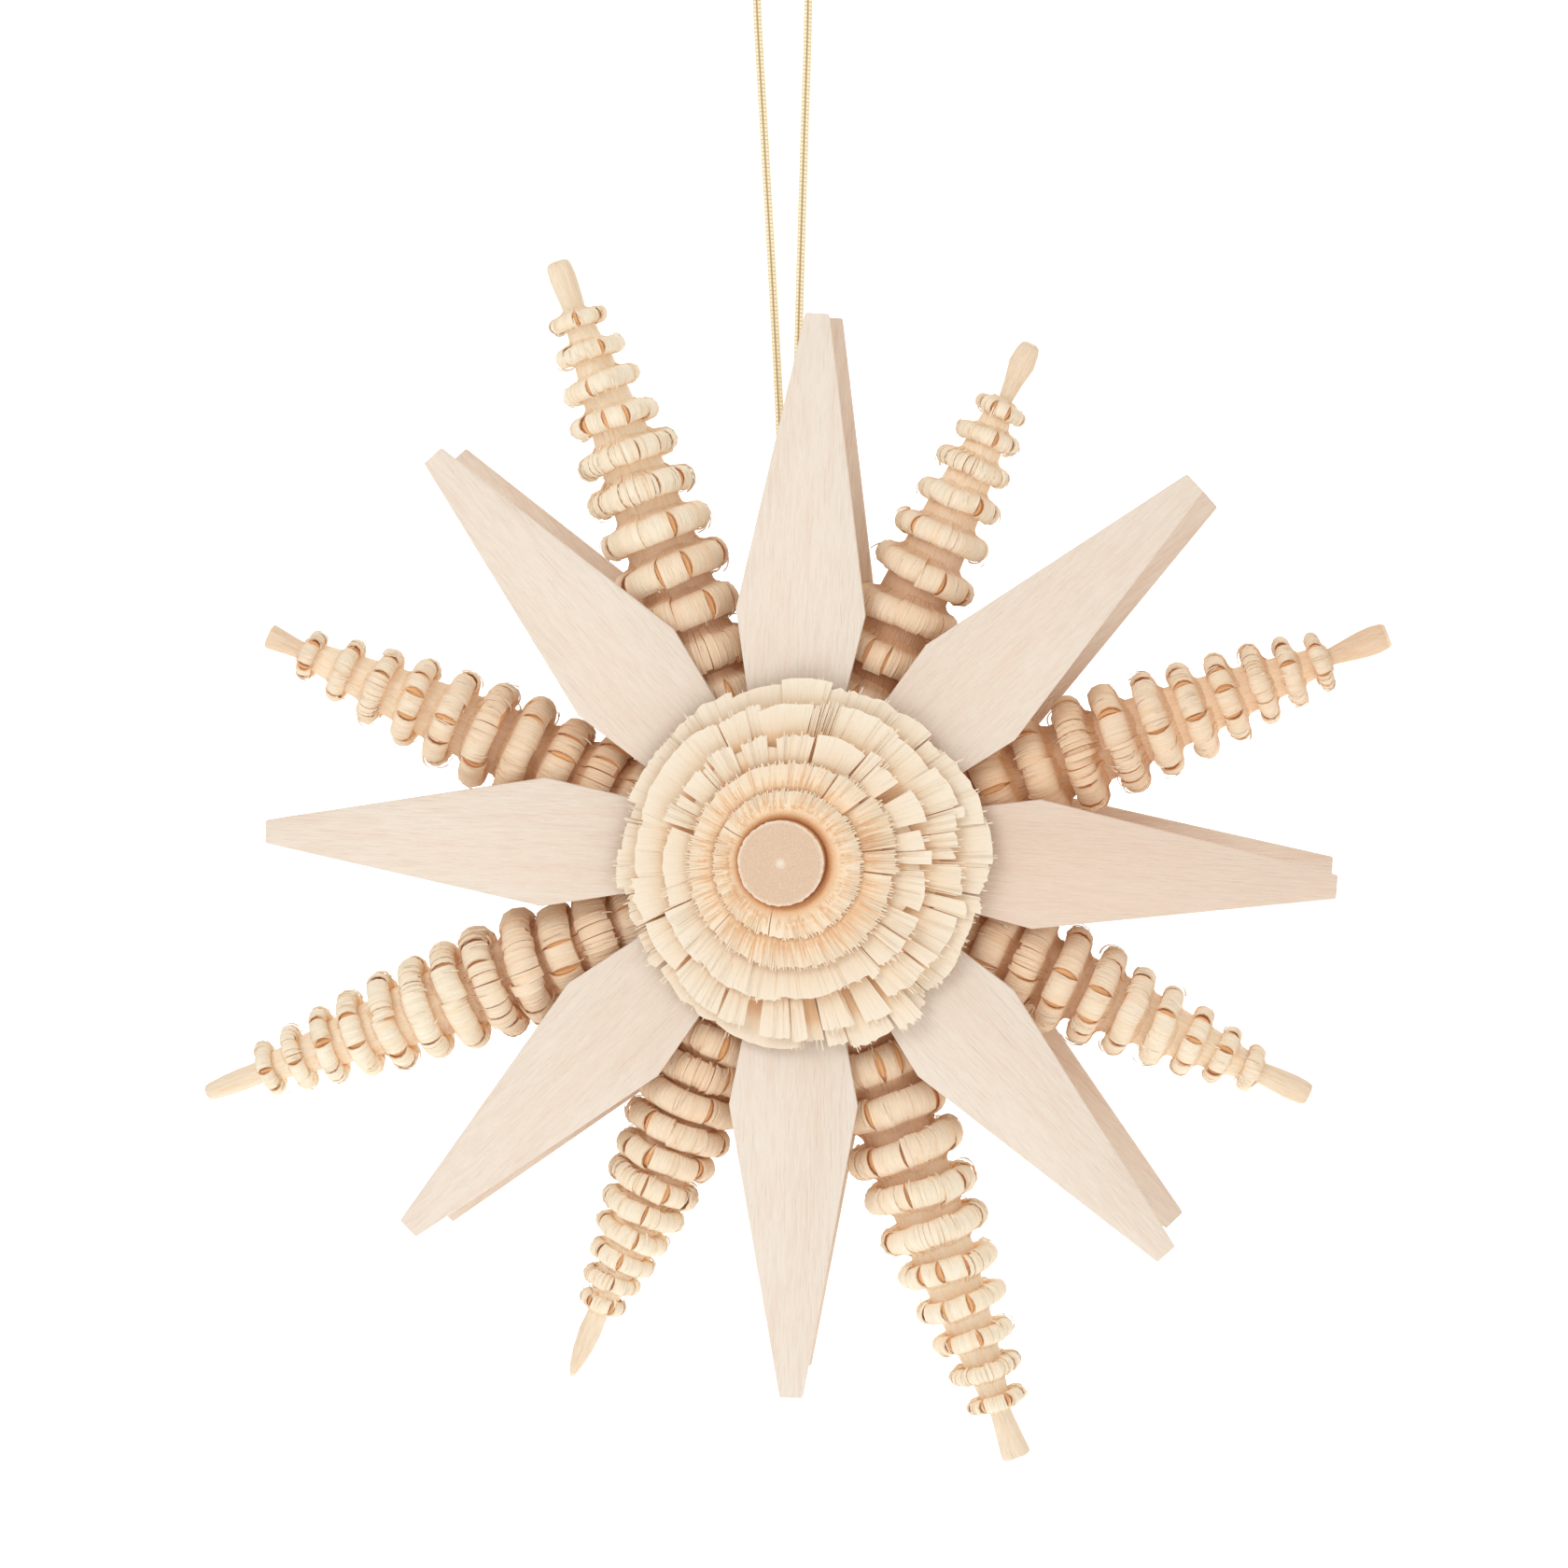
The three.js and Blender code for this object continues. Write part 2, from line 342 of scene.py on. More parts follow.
@dataclass(frozen=True)
class BareWood:
    """Unvarnished wood with fibres that follow each piece's grain, with painted shade and a painted glow;
    sizes are in millimetres.
    """

    name: str
    pale: Colour
    warm: Colour
    streak: Colour
    # The colour of the warmer tone and of the painted shade in recesses.
    tone_and_shade: Colour
    # The colour of painted deep shade, in open slots and the deepest recesses.
    deep_shade: Colour
    end_grain: Colour = (0.78, 0.58, 0.43)
    # A darker reddish tone: painted shade near the star's centre, and a real darker tone on some tips and
    # slats.
    dark_tone_and_shade: Colour = (0.50, 0.24, 0.125)
    # A painted glow: emission that stands in for light soaking through thin shavings.
    painted_glow_colour: Colour = (0.8, 0.52, 0.28)
    painted_glow_strength: float = 0.0
    fibre_width: float = 0.22
    fibre_length: float = 3.5
    fibre_detail: float = 3.0
    fibre_middle: float = 0.42
    contrast: float = 2.6
    band_width: float = 1.3
    band_length: float = 9.0
    band_detail: float = 2.0
    band_contrast: float = 5.0
    streak_share: float = 0.35
    cloud_size: Triple = (14.0, 5.0, 5.0)
    cloud_detail: float = 1.0
    cloud_contrast: float = 1.2
    # How much of the warm tone and painted shade colour is mixed in, and how much the fibres vary it.
    tone_and_shade_share: float = 0.55
    tone_and_shade_fibres: float = 0.9
    # From where, and how fast, the painted deep shade colour takes over.
    deep_shade_from: float = 0.7
    deep_shade_rise: float = 3.3
    end_share: float = 0.35
    end_fibres: float = 1.2
    relief: float = 0.00005
    roughness: float = 0.72
    roughness_spread: float = 0.2
    specular: float = 0.2

    def make(self) -> bpy.types.Material:
        """Builds the material from the piece's grain, its tone and painted shade, its cut and its painted
        glow attributes.
        """
        bench = Bench(bpy.data.materials.new(self.name))
        grain = bench.grain()
        tone_and_shade, cut, glow = (bench.attribute(name) for name in (TONE_AND_SHADE, CUT, PAINTED_GLOW))
        fibre = (self.fibre_length, self.fibre_width, self.fibre_width)
        band = (self.band_length, self.band_width, self.band_width)
        fibres = bench.noise(grain, fibre, self.fibre_detail)
        bands = bench.noise(grain, band, self.band_detail)
        clouds = bench.noise(grain, self.cloud_size, self.cloud_detail)
        thread = (fibres - self.fibre_middle) * self.contrast
        warmth = (thread + (clouds - NOISE_MIDDLE) * self.cloud_contrast).clamp()
        colour = bench.mix(warmth, self.pale, self.warm)
        striped = ((bands - NOISE_MIDDLE) * self.band_contrast).clamp()
        streaks = (striped * fibres * (2.0 * self.streak_share)).clamp()
        colour = bench.mix(streaks, colour, self.streak)
        # Warm tone and painted shade, where the mesh attribute says so.
        inside = (tone_and_shade * (self.tone_and_shade_share + self.tone_and_shade_fibres * fibres)).clamp()
        colour = bench.mix(inside, colour, self.tone_and_shade)
        # Painted deep shade in the deepest recesses.
        colour = bench.mix(((tone_and_shade - self.deep_shade_from) * self.deep_shade_rise).clamp(), colour, self.deep_shade)
        end = (cut * (self.end_share + self.end_fibres * fibres)).clamp()
        colour = bench.mix(end, colour, self.end_grain)
        # Darker tone and painted shade, where the cut attribute is below 0.
        colour = bench.mix((cut * -1.0).clamp(), colour, self.dark_tone_and_shade)
        heights = {"Strength": 1.0, "Distance": self.relief, "Height": fibres}
        bump = bench.add("ShaderNodeBump", {}, heights)
        return bench.shade({
            "Base Color": colour,
            "Roughness": (self.roughness + (fibres - NOISE_MIDDLE) * self.roughness_spread).clamp(),
            "Normal": bump.outputs[0],
            "Specular IOR Level": self.specular,
            # Painted glow, emitted though the wood is no lamp.
            "Emission Color": bench.mix(glow, BLACK, self.painted_glow_colour),
            "Emission Strength": self.painted_glow_strength,
        })


@dataclass(frozen=True)
class GoldThread:
    """Metallic thread laid in close turns round a soft core."""

    name: str = "gold_thread"
    bright: Colour = (1.0, 0.91, 0.64)
    # Painted glints: bright specks that stand in for highlights on the metal.
    painted_glint: Colour = (1.0, 0.98, 0.88)
    # The colour of painted shade in the groove and between turns.
    deep_shade: Colour = (0.42, 0.23, 0.07)
    glint_size: Triple = (0.12, 0.2, 0.2)
    glint_detail: float = 1.0
    glint_contrast: float = 3.0
    metallic: float = 0.4
    roughness: float = 0.3
    roughness_spread: float = 0.2

    def make(self) -> bpy.types.Material:
        """Builds the material; the tone and shade attribute marks the painted shade in the grooves."""
        bench = Bench(bpy.data.materials.new(self.name))
        groove = bench.attribute(TONE_AND_SHADE)
        glints = bench.noise(bench.grain(), self.glint_size, self.glint_detail)
        # Painted glints scattered by noise.
        sparkle = ((glints - NOISE_MIDDLE) * self.glint_contrast).clamp()
        colour = bench.mix(sparkle, self.bright, self.painted_glint)
        return bench.shade({
            "Base Color": bench.mix(groove, colour, self.deep_shade),
            "Metallic": self.metallic,
            "Roughness": (self.roughness + glints * self.roughness_spread).clamp(),
        })


@dataclass(frozen=True)
class StudioWhite:
    """The plain white of the floor and backdrop."""

    name: str = "studio_white"
    brightness: float = 0.93
    roughness: float = 0.9
    glow: float = 0.55

    def make(self) -> bpy.types.Material:
        """Builds a matt white that is a little lit from behind."""
        bench = Bench(bpy.data.materials.new(self.name))
        return bench.shade({
            "Base Color": (*[self.brightness] * 3, 1.0),
            "Roughness": self.roughness,
            "Emission Color": (*WHITE, 1.0),
            "Emission Strength": self.glow,
        })


@dataclass(frozen=True)
class Lamp:
    """One soft square lamp: its place from the star's centre and its side in millimetres, its watts."""

    name: str
    place: Triple
    size: float
    power: float
    tint: Colour

    def hang(self) -> None:
        """Hangs the lamp so that it faces the star."""
        data = bpy.data.lights.new(self.name, "AREA")
        data.size = self.size * MM
        data.energy = self.power
        data.color = self.tint
        lamp = bpy.data.objects.new(self.name, data)
        spot = Vector(self.place)
        lamp.rotation_mode = "QUATERNION"
        lamp.rotation_quaternion = (-spot).to_track_quat("-Z", "Y")
        lamp.location = (spot + Vector(STAR_CENTRE)) * MM
        bpy.context.scene.collection.objects.link(lamp)


LAMPS = (
    Lamp("key_lamp", (-420.0, -620.0, 520.0), 420.0, 2.1, (0.96, 0.985, 1.0)),
    Lamp("fill_lamp", (520.0, -640.0, 60.0), 500.0, 0.5, (0.98, 0.985, 1.0)),
    Lamp("rear_lamp", (260.0, 620.0, 420.0), 420.0, 1.6, (0.96, 0.985, 1.0)),
)


@dataclass
class Studio:
    """The camera, the soft light and the white sweep behind the ornament."""

    azimuth: float = 5.2
    elevation: float = 3.74
    roll: float = -0.76
    distance: float = 400.0
    target: Triple = (-0.78, 0.0, 6.11)
    sensor: float = 36.0
    lens: float = 105.9
    clip: Span = (0.01, 20.0)
    floor_depth: float = 780.0
    light_bounces: int = 8
    sweep_width: float = 3000.0
    wall_distance: float = 900.0
    wall_height: float = 900.0
    sweep_bend: float = 0.25
    bend_segments: int = 16
    bend_angle: float = 60.0
    ambient: float = 0.76
    backdrop_brightness: float = 1.05
    air_colour: Colour = (1.0, 0.96, 0.91)

    def place_camera(self) -> None:
        """Sets the camera at the photograph's viewing angle."""
        azimuth, elevation, roll = (math.radians(x) for x in (self.azimuth, self.elevation, self.roll))
        view = Vector((
            -math.sin(azimuth) * math.cos(elevation),
            math.cos(azimuth) * math.cos(elevation),
            -math.sin(elevation),
        ))
        level = Vector((math.cos(azimuth), math.sin(azimuth), 0.0))
        upright = level.cross(view)
        right = level * math.cos(roll) + upright * math.sin(roll)
        up = upright * math.cos(roll) - level * math.sin(roll)
        aim = (Vector(self.target) + Vector(STAR_CENTRE)) * MM
        data = bpy.data.cameras.new("camera")
        data.sensor_width = self.sensor
        data.lens = self.lens
        data.clip_start, data.clip_end = self.clip
        camera = bpy.data.objects.new("camera", data)
        turn = Matrix((right, up, -view)).transposed().to_4x4()
        camera.matrix_world = Matrix.Translation(aim - view * self.distance * MM) @ turn
        bpy.context.scene.collection.objects.link(camera)
        bpy.context.scene.camera = camera

    def build_sweep(self) -> None:
        """Builds the floor and wall as one bent white sheet."""
        deselect()
        bpy.ops.mesh.primitive_plane_add(size=1.0)
        sweep = bpy.context.object
        sweep.name = "studio_sweep"
        half, floor, wall = self.sweep_width / 2 * MM, -self.floor_depth * MM, self.wall_distance * MM
        for vertex in sweep.data.vertices:
            vertex.co = (math.copysign(half, vertex.co.x), wall if vertex.co.y > 0 else -half, floor)
        set_mode("EDIT")
        bpy.ops.mesh.select_mode(type="EDGE")
        bpy.ops.mesh.select_all(action="DESELECT")
        set_mode("OBJECT")
        for edge in sweep.data.edges:
            ends = [sweep.data.vertices[index].co.y for index in edge.vertices]
            edge.select = min(ends) > wall - MM
        set_mode("EDIT")
        rise = (0.0, 0.0, self.wall_height * MM)
        bpy.ops.mesh.extrude_region_move(TRANSFORM_OT_translate={"value": rise})
        set_mode("OBJECT")
        apply_modifier(
            sweep, "BEVEL", width=self.sweep_bend, segments=self.bend_segments, limit_method="ANGLE"
        )
        finish(sweep, self.bend_angle, StudioWhite().make())

    def light(self) -> None:
        """Lights the set: white all round, a large key from the upper left, a weak fill."""
        scene = bpy.context.scene
        scene.view_settings.view_transform = "Standard"
        scene.cycles.diffuse_bounces = self.light_bounces
        scene.world = bpy.data.worlds.new("studio_air")
        bench = Bench(scene.world)
        path = bench.add("ShaderNodeLightPath", {}, {})
        airs = [
            bench.add("ShaderNodeBackground", {}, {"Color": (*colour, 1.0), "Strength": strength}).outputs[0]
            for colour, strength in ((self.air_colour, self.ambient), (WHITE, self.backdrop_brightness))
        ]
        inputs = {0: path.outputs["Is Camera Ray"], 1: airs[0], 2: airs[1]}
        blend = bench.add("ShaderNodeMixShader", {}, inputs)
        bench.add("ShaderNodeOutputWorld", {}, {"Surface": blend.outputs[0]})
        for lamp in LAMPS:
            lamp.hang()


@dataclass
class HangingCord:
    """The gold cord, doubled into a loop: its two strands run side by side."""

    diameter: float = 0.8
    half_route: tuple[Span, ...] = (
        (0.6, 4.5), (0.6, 20.0), (0.65, 34.0), (1.05, 46.0),
        (1.65, 60.0), (2.2, 73.0), (2.2, 75.2), (1.56, 76.76),
    )
    turn_length: float = 0.34
    rings_per_turn: int = 7
    sides: int = 20
    groove: float = 0.22
    groove_sharpness: int = 60
    bead: float = 0.16
    bead_sharpness: int = 6
    bead_slope: float = 0.6
    # How much painted shade goes on the lines between turns.
    line_shade: float = 0.7
    dense: int = 60
    path_step: int = 30
    least_gap: float = 1e-9

    def route(self) -> Array:
        """The cord's centreline as knots, in metres, from the left end over the top."""
        left = [(-gap, 0.0, above - HANG_DROP) for gap, above in self.half_route]
        right = [(gap, 0.0, above - HANG_DROP) for gap, above in reversed(self.half_route)]
        return np.array([*left, (0.0, 0.0, self.diameter / 2), *right]) * MM

    def curve(self) -> Array:
        """The same smooth curve through the knots as the solid's, close together."""
        knots = self.route()
        padded = np.vstack([2 * knots[0] - knots[1], knots, 2 * knots[-1] - knots[-2]])
        t = np.linspace(0.0, 1.0, self.dense, endpoint=False)[:, None]
        pieces = []
        for index in range(1, len(padded) - 2):
            p0, p1, p2, p3 = padded[index - 1:index + 3]
            pairs = ((p0, p1), (p1, p2), (p2, p3))
            gaps = [max(np.linalg.norm(b - a) ** 0.5, self.least_gap) for a, b in pairs]
            start = ((p1 - p0) / gaps[0] - (p2 - p0) / (gaps[0] + gaps[1]) + (p2 - p1) / gaps[1]) * gaps[1]
            end = ((p2 - p1) / gaps[1] - (p3 - p1) / (gaps[1] + gaps[2]) + (p3 - p2) / gaps[2]) * gaps[1]
            pieces.append(
                (2 * t**3 - 3 * t**2 + 1) * p1 + (t**3 - 2 * t**2 + t) * start
                + (3 * t**2 - 2 * t**3) * p2 + (t**3 - t**2) * end
            )
        return np.vstack([*pieces, knots[-1:]])

    def build(self) -> Piece:
        line = self.curve()
        steps = np.linalg.norm(np.diff(line, axis=0), axis=1)
        travelled = np.concatenate([[0.0], np.cumsum(steps)])
        length = float(travelled[-1])
        rings = int(length / (self.turn_length * MM) * self.rings_per_turn)
        place = np.linspace(0.0, length, rings)
        centre = np.stack([np.interp(place, travelled, line[:, axis]) for axis in range(3)], 1)
        ahead = np.gradient(centre, axis=0)
        ahead /= np.linalg.norm(ahead, axis=1)[:, None]
        depth = np.array([0.0, -1.0, 0.0])
        beside = np.cross(ahead, depth)
        turn = TAU * np.arange(self.sides) / self.sides
        phase = TAU * place[:, None] / (self.turn_length * MM)
        wave = 0.5 + 0.5 * np.cos(phase + self.bead_slope * np.sin(turn)[None, :])
        line_mark = wave ** self.bead_sharpness
        groove_mark = np.abs(np.cos(turn))[None, :] ** self.groove_sharpness
        radius = self.diameter / 2 * MM * (1 - self.bead * line_mark) * (1 - self.groove * groove_mark)
        points = (
            centre[:, None, :]
            + (radius * np.sin(turn)[None, :])[..., None] * beside[:, None, :]
            + (radius * np.cos(turn)[None, :])[..., None] * depth[None, None, :]
        )
        faces = []
        for low in range(0, (rings - 1) * self.sides, self.sides):
            high = low + self.sides
            for side in range(self.sides):
                following = (side + 1) % self.sides
                faces.append((low + side, low + following, high + following, high + side))
        faces.append(tuple(reversed(range(self.sides))))
        faces.append(tuple(range((rings - 1) * self.sides, rings * self.sides)))
        cord = new_mesh("gold_cord", points.reshape(-1, 3), faces)
        pick(cord)
        set_mode("EDIT")
        face_outwards()
        round_it = np.tile(turn, rings)
        grain = np.stack([np.repeat(place / MM, self.sides), np.cos(round_it), np.sin(round_it)], 1)
        # Painted shade in the groove between the strands and on the lines between turns.
        groove_shade = np.clip(groove_mark + self.line_shade * line_mark, 0.0, 1.0)
        write_grain(cord, grain, groove_shade.ravel(), np.zeros(groove_shade.size), np.zeros(groove_shade.size))
        finish(cord, ALL_SMOOTH, GoldThread().make())
        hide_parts("hanging_cord")
        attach(cord, BODY)
        LOG.info("gold cord: %.1f mm long, %d faces", length / MM, len(faces))
        return cord


@dataclass
class Slat:
    """One long six-sided blade of thin wood."""

    ray: Ray
    reach: float
    tan: float = 0.0
    inner_end: float = 10.6
    inner_width: float = 7.0
    widest_at: float = 21.2
    width: float = 11.1
    tip_width: float = 2.0
    edge_round: float = 0.12
    edge_segments: int = 2
    edge_angle: float = 40.0
    grain_step: Triple = (37.0, 0.0, 13.0)
    # Painted shade: a warmer, darker tone on the slat toward the flower, over this length.
    flower_shade: float = 0.35
    flower_shade_length: float = 6.0
    tan_dusk: float = 0.3

    def build(self, name: str, side: Side, seed: int, wood: bpy.types.Material) -> Piece:
        """Makes the blade, rounds its edges a little and glues it in place.

        Args:
            name: The piece's name.
            side: The layer that it belongs to.
            seed: Which part of the plank it is cut from.
            wood: Its material.

        Returns:
            The finished piece.
        """
        half = np.array([
            (self.inner_end, self.inner_width / 2),
            (self.widest_at, self.width / 2),
            (self.reach, self.tip_width / 2),
        ])
        corners = np.vstack([half, half[::-1] * (1, -1)])
        deselect()
        bpy.ops.mesh.primitive_circle_add(vertices=len(corners), fill_type="NGON", radius=1.0)
        blade = bpy.context.object
        circle, middle = points_of(blade), corners.mean(axis=0)
        order = np.argsort(-np.arctan2(circle[:, 1], circle[:, 0]))
        bearing = np.argsort(-np.arctan2(corners[:, 1], corners[:, 0] - middle[0]))
        flat = np.full((len(corners), 3), side.value * LAYER_INNER_FACE)
        flat[order, 0] = corners[bearing, 0]
        flat[order, 2] = corners[bearing, 1]
        move_points(blade, flat)
        set_mode("EDIT")
        bpy.ops.mesh.select_all(action="SELECT")
        thick = (0.0, side.value * SLAT_THICKNESS, 0.0)
        bpy.ops.mesh.extrude_region_move(TRANSFORM_OT_translate={"value": thick})
        face_outwards()
        apply_modifier(
            blade, "BEVEL", width=self.edge_round, segments=self.edge_segments, limit_method="ANGLE"
        )
        local = points_of(blade)
        # Painted shade warms the slat near the flower; tan is the slat's own tone.
        near_flower = np.clip((self.widest_at - local[:, 0]) / self.flower_shade_length, 0.0, 1.0)
        tone_and_shade = self.tan + self.flower_shade * near_flower
        cut = np.where(local[:, 0] > self.reach - END_TOLERANCE, 1.0, -self.tan_dusk * self.tan)
        write_grain(blade, local + np.array(self.grain_step) * seed, tone_and_shade, cut, np.zeros_like(cut))
        move_points(blade, self.ray.place(local))
        blade.name = blade.data.name = name
        return finish(blade, self.edge_angle, wood)


class Blank:
    """A thin flat strip in unit coordinates, from which every curl and petal is bent."""

    def __init__(self, along: int, across: int) -> None:
        deselect()
        bpy.ops.mesh.primitive_grid_add(x_subdivisions=along, y_subdivisions=across, size=1.0)
        strip = bpy.context.object
        apply_modifier(strip, "SOLIDIFY", thickness=1.0, offset=0.0)
        points = points_of(strip)
        self.along = points[:, 0] + 0.5
        self.across = points[:, 1]
        self.through = points[:, 2]
        self.columns = across + 1
        self.column = np.rint((self.across + 0.5) * across).astype(int)
        self.faces = np.array([tuple(reversed(face.vertices)) for face in strip.data.polygons])
        bpy.data.objects.remove(strip)

    def uneven(self, rng: np.random.Generator, low: float, high: float) -> Array:
        """Draws one number for each lengthwise line of the strip, repeated for all its points."""
        return rng.uniform(low, high, self.columns)[self.column]


class Bundle:
    """Bent strips gathered into one mesh."""

    def __init__(self) -> None:
        self.rows: list[tuple[Array, ...]] = []
        self.faces: list[list[int]] = []
        self.count = 0

    def put(self, blank: Blank, *rows: Array) -> None:
        """Adds one bent copy of a blank: its points, grain, tone and painted shade, cut and painted glow."""
        self.rows.append(rows)
        self.faces += (blank.faces + self.count).tolist()
        self.count += len(rows[0])

    def make(self, name: str) -> Piece:
        """Makes the gathered strips one object of that name."""
        points, *shades = (np.concatenate(rows) for rows in zip(*self.rows))
        piece = new_mesh(name, points, self.faces)
        write_grain(piece, *shades)
        return piece


def resample(path: Array, share: Array) -> tuple[Array, Array, float]:
    """Finds points and outward normals on a flat path.

    Args:
        path: Rows of two coordinates, close together.
        share: Where to look, as shares of the path's length.

    Returns:
        The points, the normals there, and the path's length.
    """
    steps = np.linalg.norm(np.diff(path, axis=0), axis=1)
    travelled = np.concatenate([[0.0], np.cumsum(steps)])
    length = float(travelled[-1])
    spot = np.clip(share, 0.0, 1.0) * length
    points = np.stack([np.interp(spot, travelled, path[:, axis]) for axis in range(2)], 1)
    ahead = np.gradient(path, travelled, axis=0)
    tangent = np.stack([np.interp(spot, travelled, ahead[:, axis]) for axis in range(2)], 1)
    tangent /= np.linalg.norm(tangent, axis=1)[:, None]
    return points, np.stack([tangent[:, 1], -tangent[:, 0]], 1), length


def bow(start: Array, knee: Array, end: Array, share: Array) -> Array:
    """Points on the bow that leaves one point toward a knee and reaches another."""
    t = share[:, None]
    return (1 - t) ** 2 * start + 2 * t * (1 - t) * knee + t**2 * end


@dataclass
class Carving:
    """What sticks and flowers share: a seed, and the strips shaved from the wood."""

    seed: int

    def __post_init__(self) -> None:
        """Starts the piece's own random numbers and its empty bundle."""
        self.rng = np.random.default_rng(self.seed)
        self.bundle = Bundle()

    def draw(self, span: Span) -> float:
        """Draws a number between two ends."""
        return self.rng.uniform(*span)

    def swing(self, size: float) -> float:
        """Draws a number from -size to size."""
        return self.rng.uniform(-size, size)

    def knot(self) -> Array:
        """Draws a far-off place in the grain, so that no two strips look alike."""
        return self.rng.uniform(0, GRAIN_SPREAD, 3)


class TipCut(Enum):
    """How a stick's tip is cut: places along it with the radius there, as shares."""

    ROUNDED = ((0.0, 0.88), (0.3, 0.97), (0.65, 1.04), (0.88, 0.98), (0.97, 0.86), (1.0, 0.62))
    BULGED = ((0.0, 0.62), (0.3, 0.82), (0.62, 1.15), (0.85, 1.0), (0.96, 0.8), (1.0, 0.5))
    BLUNT = ((0.0, 0.84), (0.3, 0.92), (0.65, 1.06), (0.9, 1.16), (0.98, 1.14), (1.0, 1.04))
    BARREL = ((0.0, 0.66), (0.25, 0.84), (0.5, 1.02), (0.75, 1.1), (0.94, 1.0), (1.0, 0.82))
    TAPERED = ((0.0, 1.0), (0.3, 1.0), (0.6, 0.94), (0.88, 0.78), (0.97, 0.66), (1.0, 0.45))
    POINTED = ((0.0, 0.92), (0.3, 1.0), (0.6, 0.84), (0.8, 0.6), (0.94, 0.34), (1.0, 0.14))


@dataclass(frozen=True)
class Shaving:
    """One strip of a stick: its side view and how it sits in its ring."""

    path: Array
    bearing: float
    span: float
    thickness: float
    gaps: Span = (0.0, 0.0)
    skew: float = 0.0
    warmth: float = 0.0
    ragged: float = 0.06


@dataclass
class CurledStick(Carving):
    """A whittled stick: a tapering rod with rings of shavings that curl from it."""

    ray: Ray
    reach: float
    rings: int
    first: float
    last: float
    crowding: float
    last_radius: float
    tip_cut: TipCut
    tip_radius: float
    tan: float = 0.0
    rod_tip: float = 1.2
    rod_base: float = 3.3
    rod_swell: float = 29.0
    rod_sides: int = 28
    station_step: float = 1.1
    seat: float = 4.3
    seat_radius: float = 1.0
    point_length: float = 8.4
    flat_depth: float = 0.012
    flat_counts: tuple[int, ...] = (3, 5, 7)
    flat_twist: float = 0.05
    tip_flats: float = 1.6
    tip_fade: float = 1.5
    grain_step: float = 29.0
    ring_base: float = 5.4
    ring_swell: float = 28.0
    half_at_tip: float = 0.65
    half_growth: float = 0.03
    pressed: float = 4.6
    pressed_to: float = 21.5
    pressed_release: float = 0.25
    clearance: float = 0.33
    root_reach: float = 1.5
    root_sunk: float = 0.06
    knee_reach: float = 1.02
    knee_rise: float = 0.05
    roll_start: float = math.radians(-8)
    fillet_points: int = 10
    roll_points: int = 64
    curl_width: float = 1.6
    curl_widening: float = 0.25
    fewest_curls: int = 6
    curl_shares: Span = (0.62, 1.38)
    short_turns: Span = (0.62, 0.85)
    long_turns: Span = (0.95, 1.25)
    short_curls: float = 0.6
    curl_sizes: Span = (0.965, 1.02)
    tightness: Span = (0.16, 0.32)
    shaving_thickness: float = 0.19
    thinning: float = 0.45
    hollow: float = 0.3
    open_joints: float = 0.62
    open_gaps: Span = (0.4, 0.9)
    shut_gaps: Span = (-0.14, -0.04)
    frayed: Span = (0.12, 0.04)
    brushed: Span = (0.7, 0.1)
    brushed_rings: float = 0.14
    strand_counts: tuple[int, int] = (3, 8)
    fibre_counts: tuple[int, int] = (14, 26)
    fibre_points: int = 12
    whole: Blank = field(init=False)
    thin: Blank = field(init=False)

    def rod_radius(self, along: float) -> float:
        """The rod's radius at a distance from the centre."""
        rest = max(0.0, 1 - (self.last - along) / self.rod_swell)
        return self.rod_base - (self.rod_base - self.rod_tip) * rest * rest

    def ring_places(self) -> list[float]:
        """Where each ring of curls sits along the rod."""
        share = [index / (self.rings - 1) for index in range(self.rings)]
        return [
            self.first + (self.last - self.first) * (part + self.crowding * part * (1 - part))
            for part in share
        ]

    def ring_size(self, along: float) -> Span:
        """A ring's outer radius and half its length along the rod."""
        half = self.half_at_tip + self.half_growth * (self.last - along)
        rest = max(0.0, 1 - (self.last - along) / self.ring_swell)
        free = self.ring_base - (self.ring_base - self.last_radius) * rest * rest
        pressed = self.pressed + self.pressed_release * max(0.0, along - self.pressed_to)
        return min(free, pressed, self.clearance * (along - half)), half

    def stations(self) -> list[Span]:
        """Distance and radius of each turn of the bare rod, from its point to its tip."""
        point_end = self.seat + self.point_length
        waist = self.last + self.station_step
        return [
            (self.seat, self.seat_radius),
            (self.seat + 0.5 * self.point_length, 0.5 * (self.seat_radius + self.rod_radius(point_end))),
            *[
                (float(along), self.rod_radius(float(along)))
                for along in np.arange(point_end, self.last, self.station_step)
            ],
            *[
                (waist + (self.reach - waist) * share, self.tip_radius * size)
                for share, size in self.tip_cut.value
            ],
        ]

    def build_rod(self) -> Piece:
        """Draws the rod out turn by turn in the stick's own axes, then whittles flats on it."""
        stations = self.stations()
        grows = [(along, after / before) for (_, before), (along, after) in zip(stations, stations[1:])]
        rod = draw_out(self.rod_sides, stations[0][1], stations[0][0], grows, axis=0)
        face_outwards()
        local = points_of(rod)
        along = local[:, 0]
        around = np.arctan2(local[:, 2], local[:, 1])
        on_tip = np.clip((along - self.last) / self.tip_fade, 0.0, 1.0)
        flats = sum(
            self.flat_depth
            * np.cos(count * around + self.draw((0, TAU)) + along * self.swing(self.flat_twist))
            for count in self.flat_counts
        )
        local[:, 1:] *= (1 + flats * (1 + self.tip_flats * on_tip))[:, None]
        move_points(rod, local)
